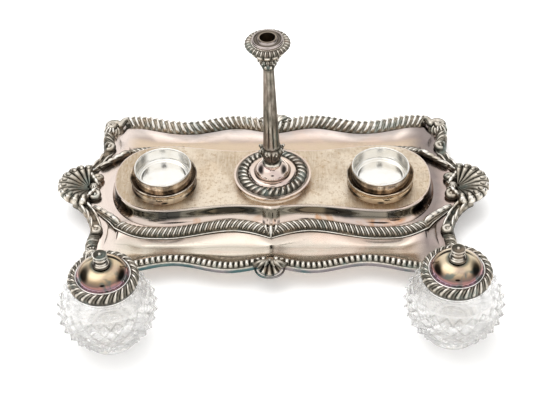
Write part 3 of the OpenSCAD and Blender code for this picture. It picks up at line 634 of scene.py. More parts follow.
def shell_volutes(side, metal):
    """Two C-scrolls, leaves and a cluster of beads at a shell's root."""
    shape = Shape()
    x = SHELL_X - 5.4
    for s in (1, -1):
        curl = spiral((x, 8.6, 18.8), 4.2, -20, 0.85, inner=0.35, lift=2.4, steps=44) * (1, s, 1)
        tube(shape, curl, np.linspace(2.5, 1.9, 44), sides=12, wear=0.72)
        dome_of_lobes(shape, (x, 8.6 * s), 2.1, 18.0, 21.4, lobes=5, twist=0.5, depth=0.25, sides=32, rows=7)
        for reach, start in ((15.5, 0.0), (12.0, 2.2), (8.6, 4.2)):
            leaf = spline([[x + 8.0 - start, reach * s, 20.0], [x + 5.6 - start, (reach - 3) * s, 21.2],
                           [x + 3.4 - start, (reach - 6.4) * s, 20.6]], 7)
            frond(shape, leaf, 1.7, 0.15, 0.9, sides=10, wear=1)
        dome_of_lobes(shape, (x - 0.4, 3.3 * s), 2.4, 17.2, 21.2, lobes=6, twist=0.3, depth=0.3, sides=36,
                      rows=7)
    dome_of_lobes(shape, (x + 2.0, 0), 3.6, 17.0, 22.4, lobes=8, twist=0, depth=0.6, sides=48, rows=9)
    cast_on_tray(shape, "shell_scrolls_" + side, metal, ["shell_volutes_" + side], ((SIDES[side], 1),),
                 sharp=60)


def centre_boss(end, metal):
    """A small shell over the middle of the border between curled leaves, with a bright lip below it."""
    shape = Shape()
    root = 76.0 if end == "front" else 72.4
    span = 86.6 - root
    fan(shape, (0, root), 100, lambda a: mix(span, 0.62 * span, np.abs(a) ** 1.3),
        [19.4, 19.4, 19.1, 18.2, 16.9, 15.8], ribs=7, depth=2.2, lip=1.0, facing=math.pi / 2)
    a = np.linspace(-88, 88, 40)
    rim = np.stack([10.2 * np.sin(np.radians(a)), 77.2 + 10.8 * np.cos(np.radians(a)) ** 0.8, 13.9 + 0 * a],
                   1)
    tube(shape, rim, 0.75, sides=8, wear=0.8)
    for s in (1, -1):
        for reach, spread, size in ((0.92, 8.4, 1.9), (0.65, 12.0, 1.7), (0.79, 3.4, 1.6)):
            leaf = spline([[s * 0.8, root + 0.2, 19.4],
                           [s * spread * 0.55, root + 0.07 * span + 0.35 * reach * span, 20.6],
                           [s * spread, root - 0.06 * span + 0.78 * reach * span, 18.8]], 7)
            frond(shape, leaf, size, 0.12, 0.94, 0.9, sides=12, wear=0.85, flat=0.7)
        curl = spiral((s * 8.6, root + 2.6, 18.6), 3.0, 0 if s > 0 else 180, 0.8 * s, inner=0.35, lift=1.4,
                      steps=30)
        tube(shape, curl, np.linspace(1.6, 1.2, 30), sides=10, wear=0.6)
    dome_of_lobes(shape, (0, root + 0.6), 2.6, 15.0, 21.0, lobes=6, twist=0, depth=0.4, sides=40, rows=8)
    cast_on_tray(shape, "centre_shell_" + end, metal, ["centre_boss_" + end], ((1, ENDS[end]),), sharp=70)


def tray_foot(corner, signs, metal):
    """A bun foot with a groove round its middle."""
    shape = Shape()
    a = np.linspace(-60, 60, 15)
    r = 5.9 * np.cos(np.radians(a)) - 0.5 * np.exp(-(a / 8) ** 2)
    z = 4.25 + 4.2 * np.sin(np.radians(a)) / math.sin(math.radians(60))
    profile = np.concatenate([[[0.3, 0.05]], np.stack([r, z], 1), [[0.3, 8.5]]])
    turned_solid(shape, profile, FOOT_AT, 48, wear=0.5)
    cast_on_tray(shape, "bun_foot_" + corner, metal, ["foot_" + corner], (signs,))


# ---------------------------------------------------------------- platform and holders

PLATFORM_STEPS, PLATFORM_END = 72, 32


def platform_quarter(share, z, fold):
    """One level of the platform's side, from its top edge (share 0) to its foot (share 1).
    fold pushes out the ribbed pilaster in the middle."""
    x0 = np.concatenate([np.linspace(0, 8, 40)[:-1], np.linspace(8, ROUND_FROM_X, PLATFORM_STEPS)])
    a = np.radians(90 * np.arange(1, PLATFORM_END + 1) / PLATFORM_END)
    x = np.concatenate([x0, mix(ROUND_FROM_X, TOP_END_X, np.sin(a))])
    y = platform_y(x)
    foot_x = np.concatenate([x0, mix(ROUND_FROM_X, FOOT_END_X, np.sin(a))])
    base = float(band_y(ROUND_FROM_X)) - BAND_W - 0.2
    foot_y = np.concatenate([band_y(x0) - BAND_W - 0.2, base * np.maximum(0, np.cos(a)) ** 0.9])
    out = np.stack([mix(x, foot_x, share), mix(y, foot_y, share), z + 0 * x], 1)
    inside = np.sqrt(np.maximum(0, 1 - (x / 6.0) ** 2))
    out[:, 1] += fold * inside * (1 - 0.28 * (1 - np.cos(2 * np.pi * x / 3.9)) * 0.5)
    out[-1, 1] = 0
    return out


def platform_levels():
    """Rings of the platform's side, from the deck up to the edge of its top."""
    levels = [(1.0, 17.3, 1.2), (0.97, 17.6, 1.3), (0.86, 18.0, 1.6), (0.70, 18.8, 2.0), (0.54, 19.9, 2.3),
              (0.40, 21.3, 2.4), (0.29, 22.9, 2.3), (0.20, 24.6, 2.0), (0.12, 26.2, 1.6), (0.05, 27.3, 0.9),
              (-0.01, 27.7, 0.3), (-0.05, 28.0, 0), (-0.05, 28.3, 0), (0.0, 28.5, 0), (0.05, 28.52, 0)]
    rows = [whole(platform_quarter(*level)) for level in levels]
    rows[-1] = rows[-1] * (0.992, 0.975, 1)
    return rows


def platform_cove(metal):
    """The platform's side: a cove that sweeps up from the deck to a thin bright edge."""
    rows = platform_levels()
    inner = [r * (0.97, 0.93, 1) - (0, 0, 1.2) for r in rows[::-1]]
    worn = [0.2, 0.25, 0.4, 0.6, 0.7, 0.7, 0.7, 0.7, 0.7, 0.7, 0.7, 0.9, 1, 1, 0.9]
    cove = Shape()
    cove.grid(np.stack(rows + inner), np.array(worn + worn[::-1])[:, None], wrap_rows=True)
    cove.build("platform_cove", metal, "satin_plate", "inkstand", origin=(0, TRAY_Y), sharp=75)


def platform_top(metal):
    """The platform's satin top, as a thin closed sheet."""
    edge = platform_levels()[-1]
    shares = [0.05, 0.25, 0.5, 0.7, 0.85, 0.94, 0.985, 1.0]
    skin = [edge * (s, s, 1) for s in shares]
    lower = [edge * (s, s, 1) - (0, 0, 0.9) for s in shares[::-1]]
    top = Shape()
    top.grid(np.stack(skin + lower), 0.7)
    top.build("platform_top", metal, "satin_plate", "inkstand", ["platform"], origin=(0, TRAY_Y), sharp=60)


def holder_collar(side, metal):
    """The spun collar of a bottle holder, with a lip and a groove round it."""
    foot = Shape()
    profile = rounded([(20.65, 28.5), (23.7, 28.5), (23.6, 29.2), (22.5, 30.2), (21.7, 31.6), (21.4, 33.2),
                       (21.8, 34.9), (23.0, 36.1), (24.2, 36.6), (24.35, 37.2), (24.0, 37.7), (23.4, 37.4),
                       (22.4, 36.4), (21.4, 35.7), (20.65, 35.5)], 0.4)
    # Dark in the groove behind the lip: grime and painted shade.
    worn = [0.05 if r < 23.2 and z > 35.2 else 0.8 for r, z in profile]
    turned(foot, profile, HOLDERS[side], 144, wear=worn)
    foot.build("holder_collar_" + side, metal, "polished_plate", "inkstand", ["holder_foot_" + side],
               sharp=70)


def holder_cup(side, metal):
    """The cup of a bottle holder, bright within and tarnished without, with a ring turned in its floor."""
    cup = Shape()
    floor = [(r, 35.0 - 0.35 * math.exp(-((r - 16.2) / 0.5) ** 2)) for r in np.linspace(0.4, 18.0, 44)]
    outer = [(0.4, 34.0), (20.3, 34.0), (20.6, 34.4), (20.6, 37.6), (20.55, 41.5), (20.4, 42.4),
             (20.35, 42.9), (20.6, 43.4), (20.6, 44.3), (20.4, 44.85), (20.0, 45.0), (19.6, 44.85),
             (19.4, 44.4), (19.4, 43.6), (19.38, 36.4), (19.1, 35.5), (18.6, 35.08)]

    def skin(turn, r, z):
        worn = np.where((r > 20.2) & (z < 43), 0.1, 0.8)
        return r, z, np.where((r > 19.3) & (z > 43.2), 0.5, worn)
    turned_solid(cup, outer + floor[::-1], HOLDERS[side], 144, warp=skin)
    cup.build("holder_cup_lining_" + side, metal, "bright_plate", "inkstand", ["holder_cup_" + side],
              sharp=60)


# ---------------------------------------------------------------- the taperstick

LEAVES, BEADS = 8, 16


def stick_seat(metal):
    """The low ring on the platform that the taperstick drops into."""
    shape = Shape()
    turned(shape, rounded([(22.05, 28.5), (27.1, 28.5), (27.0, 29.3), (26.2, 30.2), (26.3, 31.0),
                           (26.8, 31.6), (26.5, 32.2), (25.6, 32.38), (22.05, 32.38)], 0.4), STICK, 144,
           wear=0.6)
    shape.build("stick_seat_ring", metal, "polished_plate", "inkstand", ["taper_seat"], sharp=60)


def stick_base(metal):
    """Polished flange, a sloping shoulder and a ball that swells below the neck."""
    base = Shape()
    a = np.radians(np.linspace(2, 61, 22))
    ball = np.stack([12.4 * np.cos(a), 36.9 + 7.8 * np.sin(a)], 1)
    profile = ([(1.6, 42.4), (1.6, 42.0), (9.4, 40.6), (10.6, 35.8), (16.4, 34.2), (17.0, 33.4), (20.5, 33.3),
                (20.5, 29.8), (21.5, 29.8), (21.6, 32.72), (25.6, 32.72), (27.2, 32.8), (27.9, 33.2),
                (27.8, 33.8), (27.1, 33.95), (26.2, 33.8), (25.4, 34.1), (22.0, 34.5), (18.4, 34.8),
                (18.0, 35.3), (17.6, 35.8), (17.2, 36.5), (16.4, 37.1), (15.3, 37.4), (14.1, 37.3),
                (13.1, 36.9), (12.4, 36.7)] + ball.tolist()
               + [(6.0, 43.8), (6.1, 44.1), (6.9, 44.35), (7.0, 44.7), (6.6, 45.0), (1.6, 45.0)])
    worn = [0.7] * len(profile)
    # Darker in the dip inside the flange's lip, under the gadroon ring and where the ball meets the shoulder:
    # tarnish and painted shade.
    for k, (r, z) in enumerate(profile):
        if (25.4 <= r <= 26.4 and z > 33) or (12.2 < r < 13.2 and z < 37.0) or (17.5 < r < 18.1 and z < 36):
            worn[k] = 0.12
    turned(base, profile, STICK, 144, wear=worn)
    base.build("stick_base_dome", metal, "polished_plate", "taperstick", ["taper_base"], sharp=60)


def stick_base_ring(metal):
    """The ring of slanted lobes round the base's shoulder."""
    ring = Shape()
    lobes = [(17.9, 35.3, 0.05), (18.0, 36.0, 0.2), (18.8, 36.6, 0.7), (20.2, 36.9, 1), (21.8, 36.8, 1),
             (23.1, 36.3, 0.9), (24.2, 35.6, 0.7), (24.9, 34.9, 0.5), (25.1, 34.4, 0.2), (24.8, 34.2, 0),
             (20.8, 34.5, 0)]
    gadroon_ring(ring, STICK, lobes[::-1], 32, 1.35, slant=-0.85, cut=wide_and_narrow)
    ring.build("stick_base_gadroon_ring", metal, "aged_casting", "taperstick", ["taper_base_gadroon"],
               sharp=60)


def leaf_cup(metal):
    """The tulip of leaves at the foot of the stem, round-tipped and curling out, over a bright neck."""
    shape = Shape()
    profile = [(1.6, 45.0), (6.4, 45.0), (7.2, 45.4), (7.4, 46.1), (6.7, 46.8), (5.4, 47.3), (5.2, 48.3),
               (5.6, 49.4), (6.1, 51.0), (6.8, 53.0), (7.5, 55.0), (8.0, 56.6), (7.8, 57.8), (7.2, 58.6),
               (6.7, 59.3), (6.4, 60.0), (1.6, 60.0)]

    def warp(turn, r, z):
        crest = lobe(turn / (2 * np.pi) * LEAVES)
        vein = np.exp(-((fract(turn / (2 * np.pi) * LEAVES) - 0.5) / 0.07) ** 2)
        body = np.clip((z - 47.2) / 2.4, 0, 1) * np.clip((60 - z) / 1.2, 0, 1)
        neck = np.clip((47.2 - z) / 0.3, 0, 1)
        worn = np.clip(0.10 + 0.6 * crest ** 1.6 * body - 0.3 * vein * body, 0, 1) + 0.70 * neck
        return r + body * (1.0 * (crest - 0.75) - 0.4 * vein), z, worn
    turned_solid(shape, profile, STICK, 144, warp=warp)
    for k in range(LEAVES):
        a = 2 * math.pi * (k + 0.5) / LEAVES
        t = np.linspace(0, 1, 14)
        r = 5.6 + 3.6 * t ** 1.15
        z = 49.0 + 10.6 * t - 1.9 * t ** 5
        route = polar(STICK, r, a, z)
        frond(shape, route, mix(1.2, 2.2, t), 0.22, 0.90, 0.7, tip=0.08, sides=12, wear=0.95, flat=0.45)
        tip = route[-2]
        dome_of_lobes(shape, tip, 1.1, tip[2] - 0.8, tip[2] + 0.9, lobes=3, twist=0, depth=0.05, sides=12,
                      rows=6)
    shape.build("stick_leaf_cup", metal, "aged_casting", "taperstick", ["taper_leaf_cup"], sharp=55)


def stem(metal):
    """The tapering stem: deep leaf flutes at its foot, faint ones above."""
    shape = Shape()
    z = np.concatenate([[60.0, 60.4, 61.2, 61.6], np.linspace(62.2, 128.6, 60), [129.0, 129.5, 130.0]])
    r = mix(6.1, 3.75, ((z - 60) / 70) ** 0.85) + 0.1 * np.sin(np.pi * (z - 60) / 70)
    r[:4] = (6.1, 6.3, 6.25, 6.1)
    r[-3:] = (3.95, 4.1, 3.9)
    profile = np.concatenate([[[1.6, 60.0]], np.stack([r, z], 1), [[1.6, 130.0]]])

    def warp(turn, rr, zz):
        crest = lobe(turn / (2 * np.pi) * 10)
        body = np.clip((zz - 61.2) / 1.4, 0, 1) * np.clip((128.8 - zz) / 1.2, 0, 1) * (rr > 3)
        blade = 1 - ease((zz - 76) / 8)
        deep = mix(0.20, 1.05, blade)
        worn = mix(0.36 + 0.2 * crest, 0.04 + 0.62 * crest ** 1.5, blade)
        return rr - body * deep * (1 - crest), zz, np.where(body > 0.5, worn, 0.5)
    turned_solid(shape, profile, STICK, 160, warp=warp)
    shape.build("stick_fluted_stem", metal, "aged_casting", "taperstick", ["taper_stem"])


def capital(metal):
    """The small leafy capital that the nozzle stands in; its leaf tips clasp the nozzle's foot."""
    shape = Shape()
    profile = [(1.6, 130.0), (4.0, 130.0), (4.3, 130.4), (4.1, 130.8), (4.3, 131.4), (4.8, 132.2),
               (4.9, 133.2), (4.6, 134.0), (4.4, 134.58), (2.95, 134.58), (2.95, 131.9), (1.6, 131.7)]

    def warp(turn, r, z):
        crest = lobe(turn / (2 * np.pi) * 8)
        body = np.clip((z - 130.8) / 0.8, 0, 1) * np.clip((134.4 - z) / 0.6, 0, 1) * (r > 3.6)
        return r + body * 0.7 * (crest - 0.8), z, 0.15 + 0.7 * crest ** 1.6 * body
    turned_solid(shape, profile, STICK, 96, warp=warp)
    for k in range(8):
        a = math.pi / 4 * k
        t = np.linspace(0, 1, 10)
        r = 4.5 + 0.75 * np.sin(np.pi * 0.6 * t)
        frond(shape, polar(STICK, r, a, 131.2 + 4.6 * t), 1.1, 0.16, 0.9, sides=10, wear=1.1, flat=0.6)
    shape.build("stick_capital", metal, "aged_casting", "taperstick", ["taper_capital"], sharp=55)


def nozzle_cup(metal):
    """The cup of the lift-out nozzle: a bead ring under a scalloped bell."""
    cup = Shape()
    profile = [(0.3, 132.12), (2.4, 132.12), (2.6, 132.4), (2.6, 134.9), (3.3, 134.95), (3.6, 135.4),
               (3.6, 136.2), (4.6, 136.7), (6.0, 137.2), (6.5, 137.8), (6.5, 139.9), (7.0, 140.7),
               (8.3, 141.9), (9.9, 143.1), (11.3, 144.4), (12.2, 145.6), (12.4, 146.5), (12.0, 147.3),
               (11.1, 147.9), (10.4, 148.5), (9.9, 149.4), (6.25, 149.4), (6.2, 139.3), (0.3, 139.3)]

    def arches(turn, r, z):
        crest = lobe(turn / (2 * np.pi) * 14)
        body = np.clip((z - 141.0) / 1.6, 0, 1) * np.clip((147.8 - z) / 1.0, 0, 1) * (r > 6.95)
        return r + body * 1.3 * (crest - 0.8), z, 0.02 + 0.85 * crest ** 1.7 * body
    turned_solid(cup, profile, STICK, 224, warp=arches)
    for k in range(BEADS):
        a = 2 * math.pi * k / BEADS
        middle = (STICK[0] + 6.6 * math.cos(a), STICK[1] + 6.6 * math.sin(a))
        dome_of_lobes(cup, middle, 1.2, 137.2, 140.5, lobes=4, twist=0, depth=0.02, sides=12, rows=6)
    cup.build("nozzle_bell_cup", metal, "aged_casting", "nozzle", ["nozzle_cup"], sharp=55)


def nozzle_pan(metal):
    """The nozzle's drip pan, with lobes round its edge."""
    pan = Shape()
    lobes = [(6.25, 150.7, 0), (6.25, 151.7, 0), (9.8, 152.3, 0), (10.6, 152.4, 0), (11.0, 152.2, 0),
             (11.4, 152.0, 0.3), (12.4, 152.2, 0.8), (13.6, 152.0, 1), (14.6, 151.5, 1), (15.15, 150.9, 0.8),
             (15.35, 150.3, 0.6), (15.1, 149.8, 0.4), (14.0, 149.6, 0.2), (12.5, 149.55, 0), (6.25, 149.5, 0)]
    gadroon_ring(pan, STICK, lobes, 30, 0.8, slant=-0.12, per_lobe=14, cut=lobe_and_reed)
    pan.build("nozzle_lobed_pan", metal, "aged_casting", "nozzle", ["nozzle_drip_pan"], sharp=60)


def nozzle_lip(metal):
    """The dished, polished lip round the candle's hole."""
    rim = Shape()
    profile = rounded([(6.25, 152.4), (10.6, 152.4), (10.9, 153.1), (10.7, 154.0), (10.1, 154.5),
                       (9.4, 154.3), (8.7, 153.7), (8.0, 153.6), (7.3, 153.8), (6.95, 154.5), (6.6, 155.0),
                       (6.25, 155.2)], 0.3)
    # Dark in the dish round the hole: tarnish and painted shade.
    worn = [0.05 if 7.2 < r < 9.6 and z > 153 else 0.8 for r, z in profile]
    turned(rim, profile, STICK, 120, wear=worn)
    rim.build("nozzle_polished_lip", metal, "polished_plate", "nozzle", ["nozzle_rim"], sharp=60)


# ---------------------------------------------------------------- bottles and lids

HOBNAILS = 22
GLASS_R, GLASS_MIDDLE, GLASS_HALF = 34, 29, 27.4
BOTTLE_TURN = {"left": 0.07, "right": 0.03}
LID_R = 17.4


def bottle(side, glass):
    """A ball of cut glass: staggered hobnail points outside, a plain shoulder, a smooth well inside."""
    centre = BOTTLES[side]
    shape = Shape()
    cols = 2 * HOBNAILS
    rows = np.radians(np.linspace(-47, 27, 9))
    turn = 2 * np.pi * np.arange(cols) / cols + BOTTLE_TURN[side]
    rings, parity = [], []
    for j, a in enumerate(rows):
        tip = (np.arange(cols) + j) % 2 == 0
        reach = np.where(tip, 1.0, 0.925)
        if j in (0, len(rows) - 1):
            reach = np.full(cols, 0.94)
        r = (GLASS_R * math.cos(a) + 0.6 * (1 - math.cos(a))) * reach
        z = GLASS_MIDDLE + GLASS_HALF * math.sin(a) * mix(1, reach, 0.6)
        rings.append(polar(centre, r, turn, z + 0 * turn))
        parity.append(tip)
    index = [shape.points(r, np.where(tip, 0.9, 0)) + np.arange(cols) for r, tip in zip(rings, parity)]
    for j in range(len(rings) - 1):
        for i in range(cols):
            k = (i + 1) % cols
            a, b, c, d = index[j][i], index[j][k], index[j + 1][k], index[j + 1][i]
            if parity[j][i]:
                shape.faces += [(a, b, d), (b, c, d)]
            else:
                shape.faces += [(a, b, c), (a, c, d)]

    def join(ring_a, profile):
        """Carries on from a ring of the lattice with turned rings of the same count."""
        previous = ring_a
        for r, z in profile:
            fresh = shape.points(polar(centre, r, turn, np.full(cols, z)), 0.5) + np.arange(cols)
            for i in range(cols):
                k = (i + 1) % cols
                shape.faces.append((previous[i], previous[k], fresh[k], fresh[i]))
            previous = fresh
        middle = shape.points([[*centre[:2], profile[-1][1]]], 0.5)
        for i in range(cols):
            shape.faces.append((middle, previous[i], previous[(i + 1) % cols]))
    foot = [(19.6, 7.6), (18.4, 6.6), (18.3, 5.4), (18.7, 1.2), (18.3, 0.4), (17.6, 0.02), (14.5, 0.02),
            (11.5, 0.9), (4.0, 1.4), (0.6, 1.5)]
    join(index[0], foot)
    a = np.radians(np.linspace(38, -62, 13))
    well = [(25.8 * math.cos(v), 28.5 + 21.5 * math.sin(v)) for v in a]
    top = [(28.0, 43.4), (26.6, 45.2), (24.8, 46.7), (23.0, 47.8), (22.0, 48.6), (21.6, 49.6), (22.1, 50.2),
           (22.1, 50.8), (21.5, 51.3), (21.5, 53.6), (21.1, 54.0), (16.0, 54.0), (15.5, 53.5), (15.5, 45.6),
           (17.5, 43.6)] + well + [(8.0, 9.4), (0.8, 9.2)]
    join(index[-1], top)
    shape.build("hobnail_bottle_" + side, glass, "cut_glass", "bottle_" + side, ["bottle_glass_" + side],
                sharp=24)


def lid_rim(side, metal):
    """A lid's gadroon rim over a plain skirt."""
    rim = Shape()
    lobes = [(17.4, 54.5, 0), (17.4, 57.6, 0), (18.2, 58.4, 0.3), (18.9, 58.9, 0.9), (19.9, 59.2, 1),
             (21.0, 59.0, 1), (22.0, 58.3, 1), (22.7, 57.2, 1), (23.0, 56.0, 1), (23.0, 54.9, 0.8),
             (22.8, 53.9, 0.4), (22.6, 53.3, 0), (22.5, 52.8, 0), (22.5, 52.4, 0), (22.05, 52.4, 0),
             (22.05, 54.4, 0)]
    gadroon_ring(rim, BOTTLES[side], lobes, 27, 1.5, slant=-1.2, cut=lobe_and_reed, per_lobe=18)
    rim.build("lid_gadroon_rim_" + side, metal, "aged_casting", "lid_" + side, ["lid_rim_" + side], sharp=60)


def lid_wire(side, metal):
    """The bright wire between a lid's rim and its dome."""
    wire = Shape()
    turn = np.linspace(0, 2 * np.pi, 9)[:-1]
    section = np.stack([17.95 + 0.6 * np.cos(turn), 58.9 + 0.5 * np.sin(turn)], 1)
    turned(wire, section, BOTTLES[side], 120, wear=1)
    wire.build("lid_wire_" + side, metal, "bright_plate", "lid_" + side, sharp=60)


def lid_dome(side, metal):
    """A lid's dome, with the sleeve's seat under it. Its wear value holds the share of the radius."""
    dome = Shape()
    a = np.radians(np.linspace(3, 74, 20))
    outer = [(17.3, 58.4)] + [(17.35 * math.cos(v), 59.0 + 9.5 * math.sin(v)) for v in a] + [(2.0, 68.5)]
    inner = [(2.0, 67.4)] + [(16.2 * math.cos(v), 59.0 + 8.4 * math.sin(v)) for v in a[::-1]]
    inner += [(16.3, 57.2), (14.25, 57.2), (14.25, 54.5), (17.3, 54.5)]
    turned(dome, outer + inner, BOTTLES[side], 144, wear=[r / LID_R for r, z in outer + inner])
    dome.build("lid_dome_shell_" + side, metal, "polished_plate", "lid_" + side, ["lid_dome_" + side])


def lid_finial(side, metal):
    """The turned finial on a lid, dark in its grooves with tarnish and painted shade, and painted dark in the
    hollow of its top as a reflection.
    """
    knob = Shape()
    profile = [(0.3, 63.1), (1.8, 63.1), (1.85, 68.6), (5.8, 68.6), (6.2, 68.9), (6.0, 69.3), (5.0, 69.6),
               (4.5, 70.0), (4.8, 70.5), (4.9, 71.1), (4.4, 71.5), (3.6, 71.9), (3.3, 72.5), (3.5, 73.1),
               (4.3, 73.4), (4.7, 73.9), (4.6, 74.4), (4.0, 74.8), (3.4, 75.1), (3.4, 75.7), (4.1, 76.0),
               (4.7, 76.5), (4.7, 77.1), (4.3, 77.5), (3.8, 77.2), (2.0, 77.0), (1.4, 77.2), (1.1, 77.8),
               (0.7, 78.2), (0.3, 78.3)]

    def tone(turn, r, z):
        # Grooves: tarnish and painted shade; the top's hollow: a painted dark reflection.
        grooves = (z < 69.4) | ((z > 71.7) & (z < 72.9)) | ((z > 74.8) & (z < 76.0))
        dark_top_reflection = (z > 76.7) & (r < 4.0) & (r > 1.2)
        return r, z, np.where(grooves | dark_top_reflection, -0.3, 0.9)
    turned_solid(knob, profile, BOTTLES[side], 72, warp=tone)
    knob.build("lid_turned_finial_" + side, metal, "aged_casting", "lid_" + side, ["finial_" + side])


# ---------------------------------------------------------------- materials

class Nodes:
    """A node tree. Its methods return output sockets."""

    def __init__(self, owner):
        owner.use_nodes = True
        self.tree = owner.node_tree

    def node(self, kind, **settings):
        made = self.tree.nodes.new(kind)
        for key, value in settings.items():
            setattr(made, key, value)
        return made

    def feed(self, socket, value):
        if isinstance(value, bpy.types.NodeSocket):
            self.tree.links.new(value, socket)
        elif isinstance(value, tuple) and len(value) == 3 and socket.type == "RGBA":
            socket.default_value = (*value, 1)
        else:
            socket.default_value = value

    def calc(self, operation, a, b):
        n = self.node("ShaderNodeMath", operation=operation)
        self.feed(n.inputs[0], a)
        self.feed(n.inputs[1], b)
        return n.outputs[0]

    def times(self, a, b):
        return self.calc("MULTIPLY", a, b)

    def plus(self, a, b):
        return self.calc("ADD", a, b)

    def span(self, value, low, high, to_low=0.0, to_high=1.0, kind="SMOOTHSTEP"):
        """Carries a value from one range over to another, clamped at both ends."""
        n = self.node("ShaderNodeMapRange", interpolation_type=kind)
        self.feed(n.inputs["Value"], value)
        n.inputs["From Min"].default_value = low
        n.inputs["From Max"].default_value = high
        n.inputs["To Min"].default_value = to_low
        n.inputs["To Max"].default_value = to_high
        return n.outputs["Result"]


class Paint(Nodes):
    """A material's node tree. Lengths are in metres."""

    def __init__(self, name, **values):
        self.material = bpy.data.materials.new(name)
        super().__init__(self.material)
        self.shader = self.tree.nodes["Principled BSDF"]
        for key, value in values.items():
            self.shader.inputs[key.replace("_", " ")].default_value = value
        self.place = self.node("ShaderNodeTexCoord").outputs["Object"]

    def set(self, **inputs):
        """Feeds the shader's inputs and gives the finished material."""
        for key, value in inputs.items():
            self.feed(self.shader.inputs[key.replace("_", " ")], value)
        return self.material

    def drift(self, amount, *args, **kwargs):
        """Noise about zero, to shift a level or a place by up to half of amount either way."""
        return self.times(self.calc("SUBTRACT", self.noise(*args, **kwargs), 0.5), amount)

    def stretch(self, scale, turn=(0, 0, 0)):
        n = self.node("ShaderNodeMapping")
        self.feed(n.inputs["Vector"], self.place)
        n.inputs["Scale"].default_value = scale
        n.inputs["Rotation"].default_value = turn
        return n.outputs[0]

    def noise(self, size, detail=4, rough=0.55, distort=0.0, vector=None):
        """Noise whose features are about size across."""
        n = self.node("ShaderNodeTexNoise")
        self.feed(n.inputs["Vector"], vector or self.place)
        n.inputs["Scale"].default_value = 1 / size
        n.inputs["Detail"].default_value = detail
        n.inputs["Roughness"].default_value = rough
        n.inputs["Distortion"].default_value = distort
        return n.outputs["Fac"]

    def mix(self, share, a, b, blend="MIX"):
        n = self.node("ShaderNodeMix", data_type="RGBA", blend_type=blend)
        self.feed(n.inputs["Factor"], share)
        self.feed(n.inputs[6], a)
        self.feed(n.inputs[7], b)
        return n.outputs[2]

    def blotch(self, colour, tone, share, low, high, *noise, **more):
        """Lays a tone over a colour, by up to share, where a noise rises from low to high."""
        cover = self.span(self.noise(*noise, **more), low, high)
        return self.mix(self.times(cover, share), colour, tone)

    def ramp(self, value, *stops):
        n = self.node("ShaderNodeValToRGB")
        self.feed(n.inputs[0], value)
        points = n.color_ramp.elements
        points[1].position, points[1].color = stops[-1][0], (*stops[-1][1], 1)
        points[0].position, points[0].color = stops[0][0], (*stops[0][1], 1)
        for at, colour in stops[1:-1]:
            points.new(at).color = (*colour, 1)
        return n.outputs[0]

    def wear(self):
        return self.node("ShaderNodeAttribute", attribute_name="wear").outputs["Fac"]

    def place_part(self, axis):
        n = self.node("ShaderNodeSeparateXYZ")
        self.feed(n.inputs[0], self.place)
        return n.outputs[axis]

    def height(self):
        return self.place_part("Z")

    def bump(self, height, distance, strength=1.0):
        n = self.node("ShaderNodeBump")
        n.inputs["Strength"].default_value = strength
        n.inputs["Distance"].default_value = distance
        self.feed(n.inputs["Height"], height)
        self.tree.links.new(n.outputs[0], self.shader.inputs["Normal"])


SILVER = (0.74, 0.70, 0.64)
CHAMPAGNE = (0.66, 0.56, 0.45)
ROSE = (0.54, 0.42, 0.39)
# Near-black of the castings' hollows: tarnish and painted shade.
TARNISH_AND_SHADE_BLACK = (0.07, 0.065, 0.052)


def polished_plate(name, rough=0.12, dirt_and_shade=0.6, tones=(SILVER, CHAMPAGNE, ROSE), tarnish_and_light=None):
    """Polished silver plate under a thin tarnish that drifts between three tones, darker in the hollows with
    grime and painted shade.
    """
    p = Paint(name, Metallic=1.0)
    cloud = p.span(p.noise(0.060, detail=3, distort=0.4), 0.34, 0.66)
    colour = p.mix(cloud, tones[0], tones[1])
    drawn = p.stretch((1, 1.9, 1), (0, 0, 0.2))
    colour = p.blotch(colour, tones[2], 0.8, 0.48, 0.72, 0.032, 3, distort=0.8, vector=drawn)
    colour = p.blotch(colour, (0.30, 0.22, 0.15), 0.35, 0.64, 0.80, 0.0012, 3, rough=0.7)
    # Grime and painted shade: darker where the per-vertex value is low, in hollows and creases.
    grime_and_shade = p.span(p.plus(p.wear(), p.drift(0.3, 0.005, 4)), 0.10, 0.46, dirt_and_shade, 0.0)
    colour = p.mix(grime_and_shade, colour, (0.13, 0.11, 0.085))
    # The film functions paint tarnish together with painted reflections, highlights and shade.
    if tarnish_and_light:
        colour = tarnish_and_light(p, colour)
    scratch = p.noise(0.0007, detail=3, vector=p.stretch((1, 0.08, 1), (0, 0, 0.5)))
    smear = p.span(p.noise(0.030, detail=3, distort=0.5), 0.35, 0.75, rough * 0.8, rough * 1.3)
    p.bump(scratch, 0.00001, 0.3)
    return p.set(Base_Color=colour, Roughness=p.plus(smear, p.times(grime_and_shade, 0.25)))


def lid_tarnish_and_reflections(p, colour):
    """Tarnish and painted light in rings round each dome, read off its value per vertex, which holds the
    share of the radius here:
    dark teal round the finial as a painted reflection of it, a broad straw shoulder as a painted highlight,
    brown, then rose and purple tarnish at the wire."""
    ring = p.plus(p.wear(), p.drift(0.16, 0.011, 3, distort=0.5))
    tarnish_and_light = p.ramp(ring, (0.36, (0.10, 0.14, 0.14)), (0.42, (0.42, 0.42, 0.34)), (0.49, (1.0, 0.93, 0.76)),
                  (0.62, (1.0, 0.95, 0.80)), (0.72, (0.84, 0.72, 0.55)), (0.82, (0.42, 0.34, 0.26)),
                  (0.89, (0.26, 0.20, 0.20)), (0.935, (0.62, 0.35, 0.38)), (0.97, (0.48, 0.34, 0.52)))
    teal = p.times(p.span(p.noise(0.013, 3, distort=0.6), 0.52, 0.64), p.span(ring, 0.55, 0.75))
    tarnish_and_light = p.mix(p.times(teal, 0.8), tarnish_and_light, (0.12, 0.22, 0.25))
    return p.mix(0.95, colour, tarnish_and_light, "MULTIPLY")


